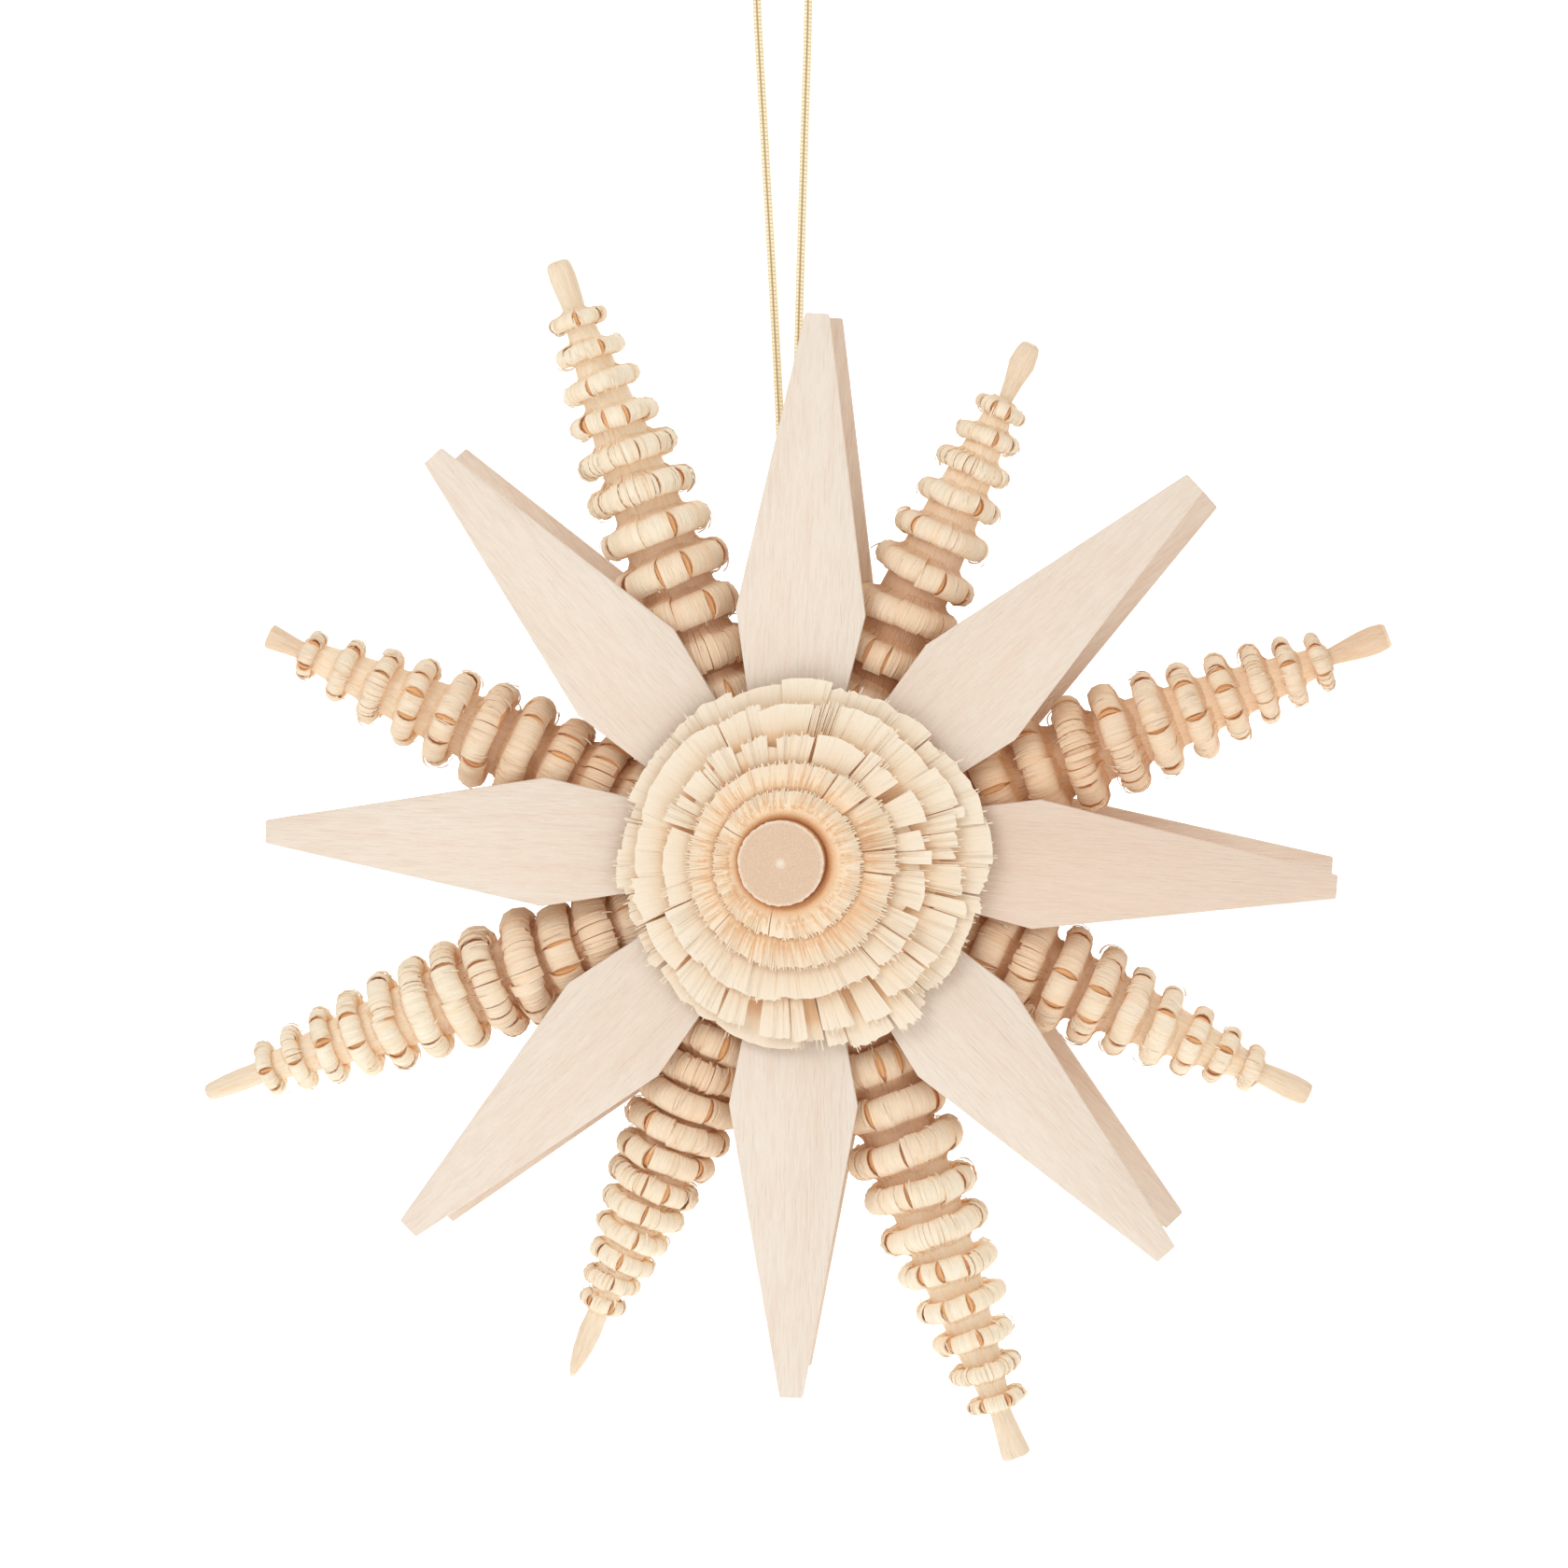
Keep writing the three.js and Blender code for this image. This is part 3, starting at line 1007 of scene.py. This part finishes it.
        # Near the star's centre the rod gets painted shade, warmer and darker, where slats and flower shade
        # it; its tip gets a darker tone, and elsewhere a painted glow stands in for light through the wood.
        near_centre = np.clip((36.0 - along) / 18.0, 0.0, 1.0)
        tone_and_shade = np.clip(0.1 + 0.35 * near_centre + self.tan, 0.0, 0.75)
        dark_tone_and_shade = 0.05 + 0.1 * on_tip * (1 + 4 * self.tan) + 0.85 * near_centre
        cut = np.where(along > self.reach - END_TOLERANCE, 0.6, -np.clip(dark_tone_and_shade, 0.0, 1.0))
        glow = 0.5 * (1 - near_centre) * (1 - on_tip)
        write_grain(rod, local + np.array([self.grain_step * self.seed, 0.0, 0.0]), tone_and_shade, cut, glow)
        return rod

    def curl_path(self, along: float, half: float, height: float, turns: float, tight: float) -> Array:
        """The side view of one curl: it leaves the rod, rises and rolls over.

        Args:
            along: The roll's middle.
            half: Half the roll's length along the rod.
            height: The roll's height above the rod.
            turns: How far it rolls, in turns.
            tight: How much it tightens in one turn.

        Returns:
            Rows of distance along the rod and radius.
        """
        rod, lift, start = self.rod_radius(along), height / 2, self.roll_start
        root_at = along + self.root_reach * half
        root = np.array([root_at, self.rod_radius(root_at) - self.root_sunk])
        knee_height = self.rod_radius(along + half) + self.knee_rise
        knee = np.array([along + self.knee_reach * half, knee_height])
        first = np.array([along + half * math.cos(start), rod + lift + lift * math.sin(start)])
        fillet = bow(root, knee, first, np.linspace(0.0, 1.0, self.fillet_points, endpoint=False))
        angle = np.linspace(start, start + turns * TAU, self.roll_points)
        shrink = 1 - tight * (angle - start) / TAU
        drop = (1 - shrink) * lift * 0.5
        roll = np.stack([
            along + half * shrink * np.cos(angle),
            rod + lift - drop + lift * shrink * np.sin(angle),
        ], 1)
        return np.vstack([fillet, roll])

    def bend(self, blank: Blank, shaving: Shaving) -> None:
        """Bends one flat strip along a shaving's path and round the rod."""
        share = blank.along * (1 - blank.uneven(self.rng, 0.0, shaving.ragged))
        spots, normals, length = resample(shaving.path, share)
        thickness = shaving.thickness * (1 - self.thinning * share)
        spots = spots + normals * (blank.through * thickness)[:, None]
        radius = spots[:, 1] + blank.uneven(self.rng, -0.03, 0.03) * share
        low, high = float(shaving.path[:, 1].min()), float(shaving.path[:, 1].max())
        lifted = np.clip((radius - low) / (high - low), 0.0, 1.0)
        gap = np.array(shaving.gaps)[(blank.across > 0).astype(int)] * lifted**3
        turn = blank.across * (shaving.span - gap / radius)
        radius = radius * (1 - self.hollow * turn**2)
        bearing = shaving.bearing + turn + self.swing(0.03) * share**2
        sideways = turn * high
        local = np.stack([
            spots[:, 0] + shaving.skew * sideways,
            -radius * np.cos(bearing),
            radius * np.sin(bearing),
        ], 1)
        grain = np.stack([share * length, sideways, blank.through * GRAIN_DEPTH], 1) + self.knot()
        # Painted shade: the strip's inner face, the lower flanks, the creases between curls and the rings
        # near the star's centre are warmer and darker; tan is the stick's own tone.
        inner = np.clip(0.5 - blank.through, 0.0, 1.0)
        near_centre = float(np.clip((34.0 - shaving.path[-1, 0]) / 14.0, 0.0, 1.0))
        flank_shade = (1 - lifted) ** 1.5 * 0.4
        crease_shade = 0.18 * np.abs(blank.across) * lifted
        tone_and_shade = 0.5 * inner + flank_shade + crease_shade + 0.42 * near_centre + 0.8 * self.tan
        dark_tone_and_shade = near_centre * (0.1 + 0.5 * (1 - lifted)) + 0.25 * self.tan
        tone_and_shade = np.clip(tone_and_shade + shaving.warmth, 0.0, 1.0)
        # Painted glow in the deepest shade and on the lower flanks, away from the centre.
        glow = (tone_and_shade - 0.75) * 3.3 * (tone_and_shade > 0.75) + 0.6 * (1 - lifted) * (1 - near_centre)
        self.bundle.put(blank, local, grain, tone_and_shade, -dark_tone_and_shade, np.clip(glow, 0.0, 1.0))

    def add_ring(self, along: float) -> None:
        """Sets one ring of curls round the rod, each a little different."""
        rng = self.rng
        radius, half = self.ring_size(along)
        height = radius - self.rod_radius(along)
        width = self.curl_width + self.curl_widening * radius
        count = max(self.fewest_curls, round(TAU * radius / width))
        shares = rng.uniform(*self.curl_shares, count)
        shares /= shares.sum()
        is_open = rng.random(count) < self.open_joints
        gaps = np.where(is_open, rng.uniform(*self.open_gaps, count), rng.uniform(*self.shut_gaps, count))
        bearing = self.draw((0, TAU))
        lean = self.swing(0.06)
        frayed, looseness = self.brushed if rng.random() < self.brushed_rings else self.frayed
        for index in range(count):
            span = float(TAU * shares[index])
            middle = bearing + span / 2
            joint_gaps = (float(gaps[index]), float(gaps[(index + 1) % count]))
            spot = along + (self.swing(0.07) * half + lean * radius * math.sin(middle))
            size = self.draw(self.curl_sizes)
            turns = self.draw(self.short_turns if rng.random() < self.short_curls else self.long_turns)
            strands = int(rng.integers(*self.strand_counts)) if rng.random() < frayed else 1
            split = strands > 1
            for strand in range(strands):
                loosened = 1 + self.swing(looseness) if split else 1.0
                shown = turns * (self.draw((0.6, 1.0)) if split else 1.0)
                tight = self.draw(self.tightness)
                path = self.curl_path(
                    spot, half * size * loosened, height * size * min(loosened, 1.05), shown, tight
                )
                shaving = Shaving(
                    path,
                    middle + ((strand + 0.5) / strands - 0.5) * span,
                    span / strands * (self.draw((0.88, 1.06)) if split else 1.0),
                    self.shaving_thickness * self.draw((0.75, 1.15)),
                    (0.0, 0.0) if split else joint_gaps,
                    self.swing(0.08),
                )
                self.bend(self.thin if split else self.whole, shaving)
            # A warm under-layer with painted shade, seen through the open joints between curls.
            inner = self.curl_path(spot, half * 0.84, height * 0.87, 0.66, 0.15)
            self.bend(self.thin, Shaving(inner, middle, span * 1.12, 0.12, warmth=0.9))
            bearing += span
        self.add_loose_fibres(along)

    def add_loose_fibres(self, along: float) -> None:
        """Adds a few hair-thin fibres that stand off the curls."""
        radius, half = self.ring_size(along)
        height = radius - self.rod_radius(along)
        for _ in range(int(self.rng.integers(*self.fibre_counts))):
            curl = self.curl_path(along, half, height, 0.75, self.draw((0.0, 0.3)))
            start = self.draw((0.25, 0.75))
            end = min(1.0, start + self.draw((0.15, 0.35)))
            spots, normals, _ = resample(curl, np.linspace(start, end, self.fibre_points))
            stand = self.draw((0.03, 0.4)) * np.linspace(0.0, 1.0, self.fibre_points) ** 1.5
            fibre = Shaving(
                spots + normals * stand[:, None],
                self.draw((0, TAU)),
                self.draw((0.05, 0.11)) / radius,
                0.04,
                skew=self.swing(2.0),
                warmth=-0.6,
                ragged=0.2,
            )
            self.bend(self.thin, fibre)

    def build(self, name: str, blanks: tuple[Blank, Blank], wood: bpy.types.Material) -> Piece:
        """Makes the whole stick and sets it in the star.

        Args:
            name: The piece's name.
            blanks: The strips that whole curls and that strands and fibres are bent from.
            wood: Its material.

        Returns:
            The finished piece.
        """
        self.whole, self.thin = blanks
        rod = self.build_rod()
        for along in self.ring_places():
            self.add_ring(along)
        stick = join(rod, self.bundle.make(f"{name}_curls"), name)
        move_points(stick, self.ray.place(points_of(stick)))
        return finish(stick, CARVED_ANGLE, wood)


@dataclass(frozen=True)
class Tier:
    """One tier of petals: where it springs, where its edge is, and how it splits."""

    root: float
    root_height: float
    edge: float
    edge_height: float
    cover: float
    petals: int = 1
    splits: tuple[float, ...] = ()
    skirt: float = 0.9
    missing: float = 0.0
    thickness: float = 0.22
    fringe: int = 12

    @property
    def whole(self) -> bool:
        """Whether the tier is one shaved ring with a few splits."""
        return bool(self.splits)


@dataclass(frozen=True)
class Petal:
    """One strip of a flower: its side view, its place round the stem and its cut end."""

    path: Array
    bearing: float
    span: float
    offset: Array
    ragged: float = 0.0
    tilt: float = 0.0
    warmth: float = 0.0
    narrowing: float = 0.0
    slant: float = 0.0
    thinned: float = 1.0


@dataclass(frozen=True)
class FlowerBlanks:
    """The flat strips that a flower is bent from."""

    ring: Blank
    skirt: Blank
    petal: Blank
    strand: Blank
    splinter: Blank


@dataclass
class ShavedFlower(Carving):
    """A stem with tiers of shaved petals that flare from it."""

    side: Side
    drift: Span
    tiers: tuple[Tier, ...]
    stem_radius: float = 3.62
    stem_face: float = 9.8
    stem_end: float = 0.2
    stem_sides: int = 96
    stem_lean: float = 0.28
    stem_steps: tuple[Span, ...] = (
        (4.0, 1.0), (9.0, 1.0), (9.5, 1.0), (9.74, 1.0), (9.8, 0.985), (9.77, 0.95),
    )
    face_rings: tuple[float, ...] = (0.03,) * 2 + (0.12,) * 7
    grain_step: float = 51.0
    rim: float = 15.6
    drift_from: float = 5.0
    path_points: int = 24
    brushed_petals: float = 0.1
    brushed_parts: tuple[int, int] = (26, 36)
    unsplit: float = 0.72
    droop: float = 0.12
    skirt_parts: int = 3
    skirt_drop: float = 0.26
    # Painted shade on the skirt of shaved wood, seen in the gaps between petals.
    skirt_shade: float = 0.22
    loose_toward: float = -8.0
    split_gap: float = 0.3
    short_split: float = 1.2
    fuzz: float = 13.0
    splinter_from: int = 13
    blanks: FlowerBlanks = field(init=False)

    def build_stem(self) -> Piece:
        """Makes the stem, standing along +Z, with fine fibres broken off round its cut face."""
        top = self.stem_face
        stem = draw_out(self.stem_sides, self.stem_radius, self.stem_end, self.stem_steps, axis=2)
        for share in self.face_rings:
            bpy.ops.mesh.inset(thickness=self.stem_radius * share)
        face_outwards()
        local = points_of(stem)
        radius = np.hypot(local[:, 0], local[:, 1])
        on_rim = (local[:, 2] > top - 0.1) & (radius > self.stem_radius * 0.96)
        rim_count = int(on_rim.sum())
        local[on_rim, 2] += self.rng.uniform(-0.08, 0.0, rim_count)
        local[on_rim, :2] *= 1 + self.rng.uniform(-0.012, 0.022, rim_count)[:, None]
        face = local[:, 2] > top - 0.15
        fibrous_rim = np.clip((radius / self.stem_radius - 0.93) / 0.05, 0.0, 1.0)
        pith = np.clip(1.3 - radius / 0.45, 0.0, 1.0)
        # Painted shade and a painted glow on the stem's side, hidden in the tiers; the rim of the cut face
        # is a warmer tone.
        tone_and_shade = np.where(face, 0.2 * fibrous_rim, 0.85)
        grain = np.stack([local[:, 2], local[:, 0], local[:, 1]], 1) + self.grain_step * self.seed
        cut = np.where(face, 1 - 0.8 * fibrous_rim - 0.8 * pith, 0.0)
        write_grain(stem, grain, tone_and_shade, cut, np.where(face, 0.0, 0.5))
        local[:, 0] -= self.stem_lean * local[:, 2] / top
        move_points(stem, local)
        return stem

    def looseness(self, bearing: float) -> float:
        """How much petals part in a direction: 0 where they hold together, 1 where they part most."""
        return 0.5 + 0.5 * math.cos(bearing - math.radians(self.loose_toward))

    def petal_path(self, tier: Tier, reach: float, lift: float) -> Array:
        """The side view of one petal, from its root beside the stem to its cut end.

        Args:
            tier: The petal's tier.
            reach: How far out this petal ends, as a share of the tier's edge.
            lift: How much higher than its tier it ends.

        Returns:
            Rows of radius and height.
        """
        end = np.array([tier.edge * reach, tier.edge_height + lift])
        start = np.array([tier.root, tier.root_height])
        bend = (0.1, 1.5) if tier.whole else (0.3, 1.0 + self.droop)
        knee = start + (end - start) * np.array(bend)
        return bow(start, knee, end, np.linspace(0.0, 1.0, self.path_points))

    def bend(self, blank: Blank, tier: Tier, petal: Petal) -> None:
        """Bends one flat strip of a tier along a petal's path and round the stem."""
        cut = 1 - blank.uneven(self.rng, 0.0, petal.ragged) - petal.slant * blank.across
        share = blank.along * (1 + (cut - 1) * blank.along)
        spots, normals, length = resample(petal.path, share)
        thin = tier.thickness * petal.thinned * (1 - 0.6 * share)
        spots = spots + normals * (blank.through * thin)[:, None]
        spread = np.ones_like(share) if tier.whole else 0.8 + 0.2 * share
        turn = blank.across * petal.span * (spread * (1 - petal.narrowing * share**3))
        radius = spots[:, 0] * (1.0 if tier.whole else 1 - 0.35 * turn**2)
        angle = petal.bearing + turn
        ripple = blank.uneven(self.rng, -0.022, 0.022) * share
        height = spots[:, 1] + petal.tilt * 2 * blank.across * share + ripple
        local = np.stack([radius * np.cos(angle), radius * np.sin(angle), height], 1)
        grain = np.stack([share * length, turn * tier.edge, blank.through * GRAIN_DEPTH], 1) + petal.offset
        # Painted shade: petal bases under the tier above and the undersides are warmer and darker.
        deep_shade = np.clip(1 - (spots[:, 0] - tier.cover + 0.2) / (tier.edge - tier.cover + 0.4), 0.0, 1.0)
        under_shade = 0.12 * (blank.through < 0)
        tone_and_shade = (0.2 + 0.7 * deep_shade if tier.whole else 0.8 * deep_shade**1.4) + under_shade + petal.warmth
        tone_and_shade = np.clip(tone_and_shade, 0.0, 1.0)
        # Painted glow on the deepest shade and on the undersides, lighting the petals beneath.
        glow = np.clip((tone_and_shade - 0.7) * 3.3 + (blank.through < 0) * share, 0.0, 1.0)
        self.bundle.put(blank, local, grain, tone_and_shade, np.zeros_like(tone_and_shade), glow)

    def pose(self, tier: Tier, span: float, loose: float) -> Triple:
        """Draws how far out a petal ends, how much higher than its tier, and its tilt."""
        if not tier.whole:
            reach, lift = self.draw((0.965, 1.035)), self.draw((-0.05 - 0.15 * loose, 0.05 + 0.28 * loose))
            return reach, lift, self.swing(0.2) * (0.25 + 0.75 * loose)
        if span < self.short_split:
            return self.draw((0.94, 1.05)), self.draw((-0.35, 0.2)), self.swing(0.2)
        return self.draw((0.98, 1.015)), self.draw((-0.1, 0.06)), 0.0

    def add_petal(self, tier: Tier, bearing: float, span: float) -> None:
        """Bends one petal with the fringe of fine splinters at its end.

        Args:
            tier: The petal's tier.
            bearing: Its direction round the stem, in radians.
            span: The angle that it takes, in radians.
        """
        rng = self.rng
        loose = self.looseness(bearing)
        reach, lift, tilt = self.pose(tier, span, loose)
        offset = self.knot()
        brushed = not tier.whole and rng.random() < self.brushed_petals * (1.2 - loose)
        parts = 1 if tier.whole or rng.random() < self.unsplit else int(rng.integers(2, 4))
        edges = np.concatenate([[-0.5], np.sort(rng.uniform(-0.42, 0.42, parts - 1)), [0.5]])
        scatter, overlap = 0.04, 1.01
        blank = self.blanks.ring if tier.whole else self.blanks.petal
        if brushed:
            parts = int(rng.integers(*self.brushed_parts))
            edges = np.linspace(-0.5, 0.5, parts + 1)
            scatter, overlap, blank = 0.09, 1.0, self.blanks.strand
        for start, end in zip(edges[:-1], edges[1:]):
            middle = 0.5 * (start + end)
            own_reach = reach * (1 + (self.draw((-0.04, 0.02)) if parts > 1 else 0.0))
            path = self.petal_path(tier, own_reach, lift + 2 * tilt * middle + self.swing(scatter))
            petal = Petal(
                path,
                bearing + middle * span + (self.swing(0.008) if brushed else 0.0),
                span * (end - start) * overlap,
                offset,
                0.035 if tier.whole else 0.008 + 0.06 * rng.random() ** 2,
                tilt * (end - start),
                narrowing=0.1 if parts > 1 else 0.0,
                slant=0.0 if tier.whole else self.swing(0.07),
            )
            self.bend(blank, tier, petal)
        for _ in range(int(tier.fringe * (span * self.fuzz if tier.whole else 1))):
            place = self.swing(0.5)
            longer = self.draw((0.96, 1.045) if tier.whole else (0.97, 1.03))
            width = self.draw((0.04, 0.12)) / tier.edge
            raised = self.draw((-0.06, 0.08) if tier.whole else (0.0, 0.07))
            path = self.petal_path(tier, reach * longer, lift + raised + 2 * tilt * place)
            turned = bearing + place * span * 0.96 + self.swing(0.02)
            rooted = int(rng.integers(self.splinter_from, self.splinter_from + 5))
            warmth = self.draw((0.05, 0.4) if tier.whole else (-0.1, 0.3))
            splinter = Petal(path[rooted:], turned, width, offset, 0.1, warmth=warmth, thinned=0.4)
            self.bend(self.blanks.splinter, tier, splinter)

    def add_tier(self, tier: Tier) -> None:
        """Sets one tier of petals round the stem over the shaved wood that joins their roots."""
        part = TAU / self.skirt_parts
        for number in range(self.skirt_parts):
            path = self.petal_path(tier, tier.skirt, -self.skirt_drop)
            skirt = Petal(path, number * part, part * 1.02, self.knot(), 0.02, 0.0, self.skirt_shade)
            self.bend(self.blanks.skirt, tier, skirt)
        if tier.whole:
            edges = [math.radians(split) for split in tier.splits]
        else:
            shares = self.rng.uniform(0.6, 1.4, tier.petals)
            edges = list(self.draw((0, TAU)) + TAU * np.cumsum(shares) / shares.sum())
        for first, last in zip(edges, [*edges[1:], edges[0] + TAU]):
            span, middle = float(last - first), float(first + last) / 2
            apart = self.rng.random() < 0.05 + 0.42 * self.looseness(middle)
            narrowed = self.draw((0.66, 0.84) if apart else (1.03, 1.16))
            if tier.whole:
                narrowed = 1 - self.split_gap / (span * tier.edge)
            if self.rng.random() > tier.missing:
                self.add_petal(tier, middle, span * narrowed)

    def build(self, name: str, blanks: FlowerBlanks, wood: bpy.types.Material) -> Piece:
        """Makes the whole flower and sets it on the star.

        Args:
            name: The piece's name.
            blanks: The flat strips.
            wood: Its material.

        Returns:
            The finished piece.
        """
        self.blanks = blanks
        stem = self.build_stem()
        for tier in self.tiers:
            self.add_tier(tier)
        flower = join(stem, self.bundle.make(f"{name}_petals"), name)
        local = points_of(flower)
        radius = np.hypot(local[:, 0], local[:, 1])
        outward = np.clip(radius - self.stem_radius - 0.3, 0.0, None) / (self.rim - self.stem_radius)
        shift = outward * (local[:, 2] > self.drift_from)
        x = local[:, 0] + self.drift[0] * shift
        z = local[:, 1] + self.drift[1] * shift
        facing = self.side.value
        placed = np.column_stack([-facing * x, facing * local[:, 2], z])
        move_points(flower, (STAR_CENTRE + placed) * MM)
        return finish(flower, CARVED_ANGLE, wood)


FRONT_SLATS = {
    "n": Slat(Ray(86.1, 0.1), 46.6),
    "ne": Slat(Ray(42.5, -0.2), 47.2, 0.12),
    "e": Slat(Ray(-4.7, 1.2), 46.7, 0.42),
    "se": Slat(Ray(-48.4, 1.3), 46.7, 0.05),
    "s": Slat(Ray(-91.2, 0.6), 46.6),
    "sw": Slat(Ray(-136.4), 46.3, 0.06),
    "w": Slat(Ray(177.5, -0.7), 45.4, 0.1),
    "nw": Slat(Ray(131.2, -0.3), 46.1, 0.05),
}
BACK_SLATS = {
    "n": Slat(Ray(85.8), 46.6),
    "ne": Slat(Ray(40.2, -0.2), 47.2),
    "e": Slat(Ray(-3.0, 0.5), 46.6),
    "se": Slat(Ray(-45.8, 0.5), 46.3),
    "s": Slat(Ray(-91.0, 0.3), 45.8),
    "sw": Slat(Ray(-135.0, 0.2), 45.5),
    "w": Slat(Ray(177.6, -0.2), 46.1),
    "nw": Slat(Ray(130.8, -0.3), 45.8),
}
STICKS = {
    "nnw": CurledStick(101, Ray(109.6, 1.5), 55.2, 11, 14.6, 49.8, 0.2, 2.6, TipCut.ROUNDED, 1.12),
    "nne": CurledStick(102, Ray(64.2, 0.1), 48.6, 9, 14.4, 42.3, 0.3, 2.4, TipCut.BULGED, 1.0, 0.12),
    "ene": CurledStick(103, Ray(20.6, -0.7), 54.5, 11, 14.2, 48.2, 0.25, 2.8, TipCut.BARREL, 1.12, 0.36),
    "ese": CurledStick(104, Ray(-25.6, 0.1), 49.1, 10, 15.2, 43.5, 0.15, 2.1, TipCut.ROUNDED, 1.05, 0.13),
    "sse": CurledStick(105, Ray(-70.9, 0.5), 56.0, 11, 15.0, 50.7, 0.2, 2.8, TipCut.BLUNT, 1.1),
    "ssw": CurledStick(106, Ray(-113.8), 50.1, 12, 14.2, 42.9, 0.2, 2.1, TipCut.POINTED, 0.95, 0.03),
    "wsw": CurledStick(107, Ray(-159.1, 0.8), 56.2, 12, 14.2, 50.0, 0.15, 2.6, TipCut.TAPERED, 0.98),
    "wnw": CurledStick(108, Ray(155.3, 1.5), 49.7, 10, 14.2, 45.6, 0.05, 2.3, TipCut.BLUNT, 0.92, 0.2),
}
FRONT_TIERS = (
    Tier(3.5, 6.5, 6.3, 9.4, 3.9, splits=(-105.0, 148.0)),
    Tier(4.4, 6.6, 8.8, 8.9, 6.1, splits=(-140.0, -6.0, 9.0, 41.0, 62.0)),
    Tier(5.8, 6.4, 11.7, 8.4, 8.6, 19, skirt=0.92),
    Tier(7.0, 6.3, 14.3, 7.6, 11.2, 20, skirt=0.86),
    Tier(8.0, 6.15, 15.9, 6.8, 13.4, 21, skirt=0.86),
)
BACK_TIERS = (
    Tier(3.5, 7.2, 6.4, 9.3, 3.9, splits=(-130.0, -20.0, 100.0)),
    Tier(5.2, 6.4, 9.6, 8.7, 6.2, 12),
    Tier(6.2, 6.3, 13.6, 7.6, 9.2, 18),
)
FLOWERS = {
    "front_rosette": ShavedFlower(12, Side.FRONT, (1.25, -0.6), FRONT_TIERS),
    "back_rosette": ShavedFlower(8, Side.BACK, (0.4, -0.2), BACK_TIERS),
}

SLAT_WOOD = BareWood(
    "slat_wood",
    pale=(0.825, 0.74, 0.65),
    warm=(0.77, 0.665, 0.56),
    streak=(0.78, 0.62, 0.52),
    tone_and_shade=(0.80, 0.63, 0.50),
    deep_shade=(0.72, 0.46, 0.33),
    fibre_length=2.4,
    fibre_width=0.18,
    band_width=0.9,
    relief=0.00012,
)
# The back slats' wood is a darker, pinker copy of the front slats' wood: painted shade, as they lie in the
# front slats' shadow.
SHADED_BACK_SLAT_WOOD = replace(
    SLAT_WOOD,
    name="back_slat_wood",
    pale=(0.75, 0.63, 0.525),
    warm=(0.69, 0.55, 0.44),
    streak=(0.69, 0.495, 0.385),
    tone_and_shade=(0.73, 0.50, 0.365),
    deep_shade=(0.65, 0.39, 0.26),
)
STICK_WOOD = BareWood(
    "stick_wood",
    pale=(0.94, 0.868, 0.715),
    warm=(0.92, 0.79, 0.605),
    streak=(0.90, 0.695, 0.465),
    tone_and_shade=(0.89, 0.585, 0.35),
    deep_shade=(0.80, 0.42, 0.17),
    deep_shade_from=0.75,
    painted_glow_strength=0.1,
    end_grain=(0.86, 0.68, 0.52),
    fibre_width=0.2,
    contrast=3.6,
    band_width=0.5,
    streak_share=0.5,
    relief=0.0002,
)
FLOWER_WOOD = BareWood(
    "flower_wood",
    pale=(0.89, 0.815, 0.69),
    warm=(0.88, 0.765, 0.61),
    streak=(0.87, 0.75, 0.59),
    tone_and_shade=(0.84, 0.645, 0.44),
    deep_shade=(0.76, 0.46, 0.25),
    painted_glow_strength=0.07,
    painted_glow_colour=(0.9, 0.66, 0.4),
    end_grain=(0.72, 0.52, 0.375),
    fibre_width=0.13,
    contrast=2.0,
    band_width=0.4,
    streak_share=0.12,
    relief=0.00008,
)


def dress(piece: Piece, node: str) -> None:
    """Hides the solid that a piece stands for, attaches the piece to its body and logs its faces."""
    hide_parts(node)
    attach(piece, BODY)
    LOG.info("%s: %d faces", piece.name, len(piece.data.polygons))


def build_slats() -> None:
    """Builds both layers of slats."""
    layers = (
        (FRONT_SLATS, Side.FRONT, "front_slat", SLAT_WOOD, "slat_wood"),
        (BACK_SLATS, Side.BACK, "back_slat", SHADED_BACK_SLAT_WOOD, "back_slat_wood"),
    )
    seed = 0
    for slats, side, prefix, look, slot in layers:
        wood = look.make()
        for point, slat in slats.items():
            seed += 1
            node = f"{prefix}_{point}"
            dress(slat.build(f"{node}_planed", side, seed, wood), node)


def build_sticks() -> None:
    """Builds the eight curled sticks."""
    blanks = (Blank(11, 2), Blank(9, 1))
    wood = STICK_WOOD.make()
    for point, stick in STICKS.items():
        node = f"curled_stick_{point}"
        dress(stick.build(f"{node}_whittled", blanks, wood), node)


def build_flowers() -> None:
    """Builds the front and the back flower."""
    blanks = FlowerBlanks(Blank(9, 64), Blank(6, 40), Blank(8, 12), Blank(7, 1), Blank(4, 1))
    wood = FLOWER_WOOD.make()
    for node, flower in FLOWERS.items():
        dress(flower.build(f"{node}_shaved", blanks, wood), node)


def main() -> None:
    """Builds the set, the cord and the star."""
    logging.basicConfig(level=logging.INFO, format="%(name)s: %(message)s")
    studio = Studio()
    studio.place_camera()
    HangingCord().build()
    build_slats()
    build_sticks()
    build_flowers()
    studio.build_sweep()
    studio.light()
    deselect()


if __name__ == "__main__":
    main()
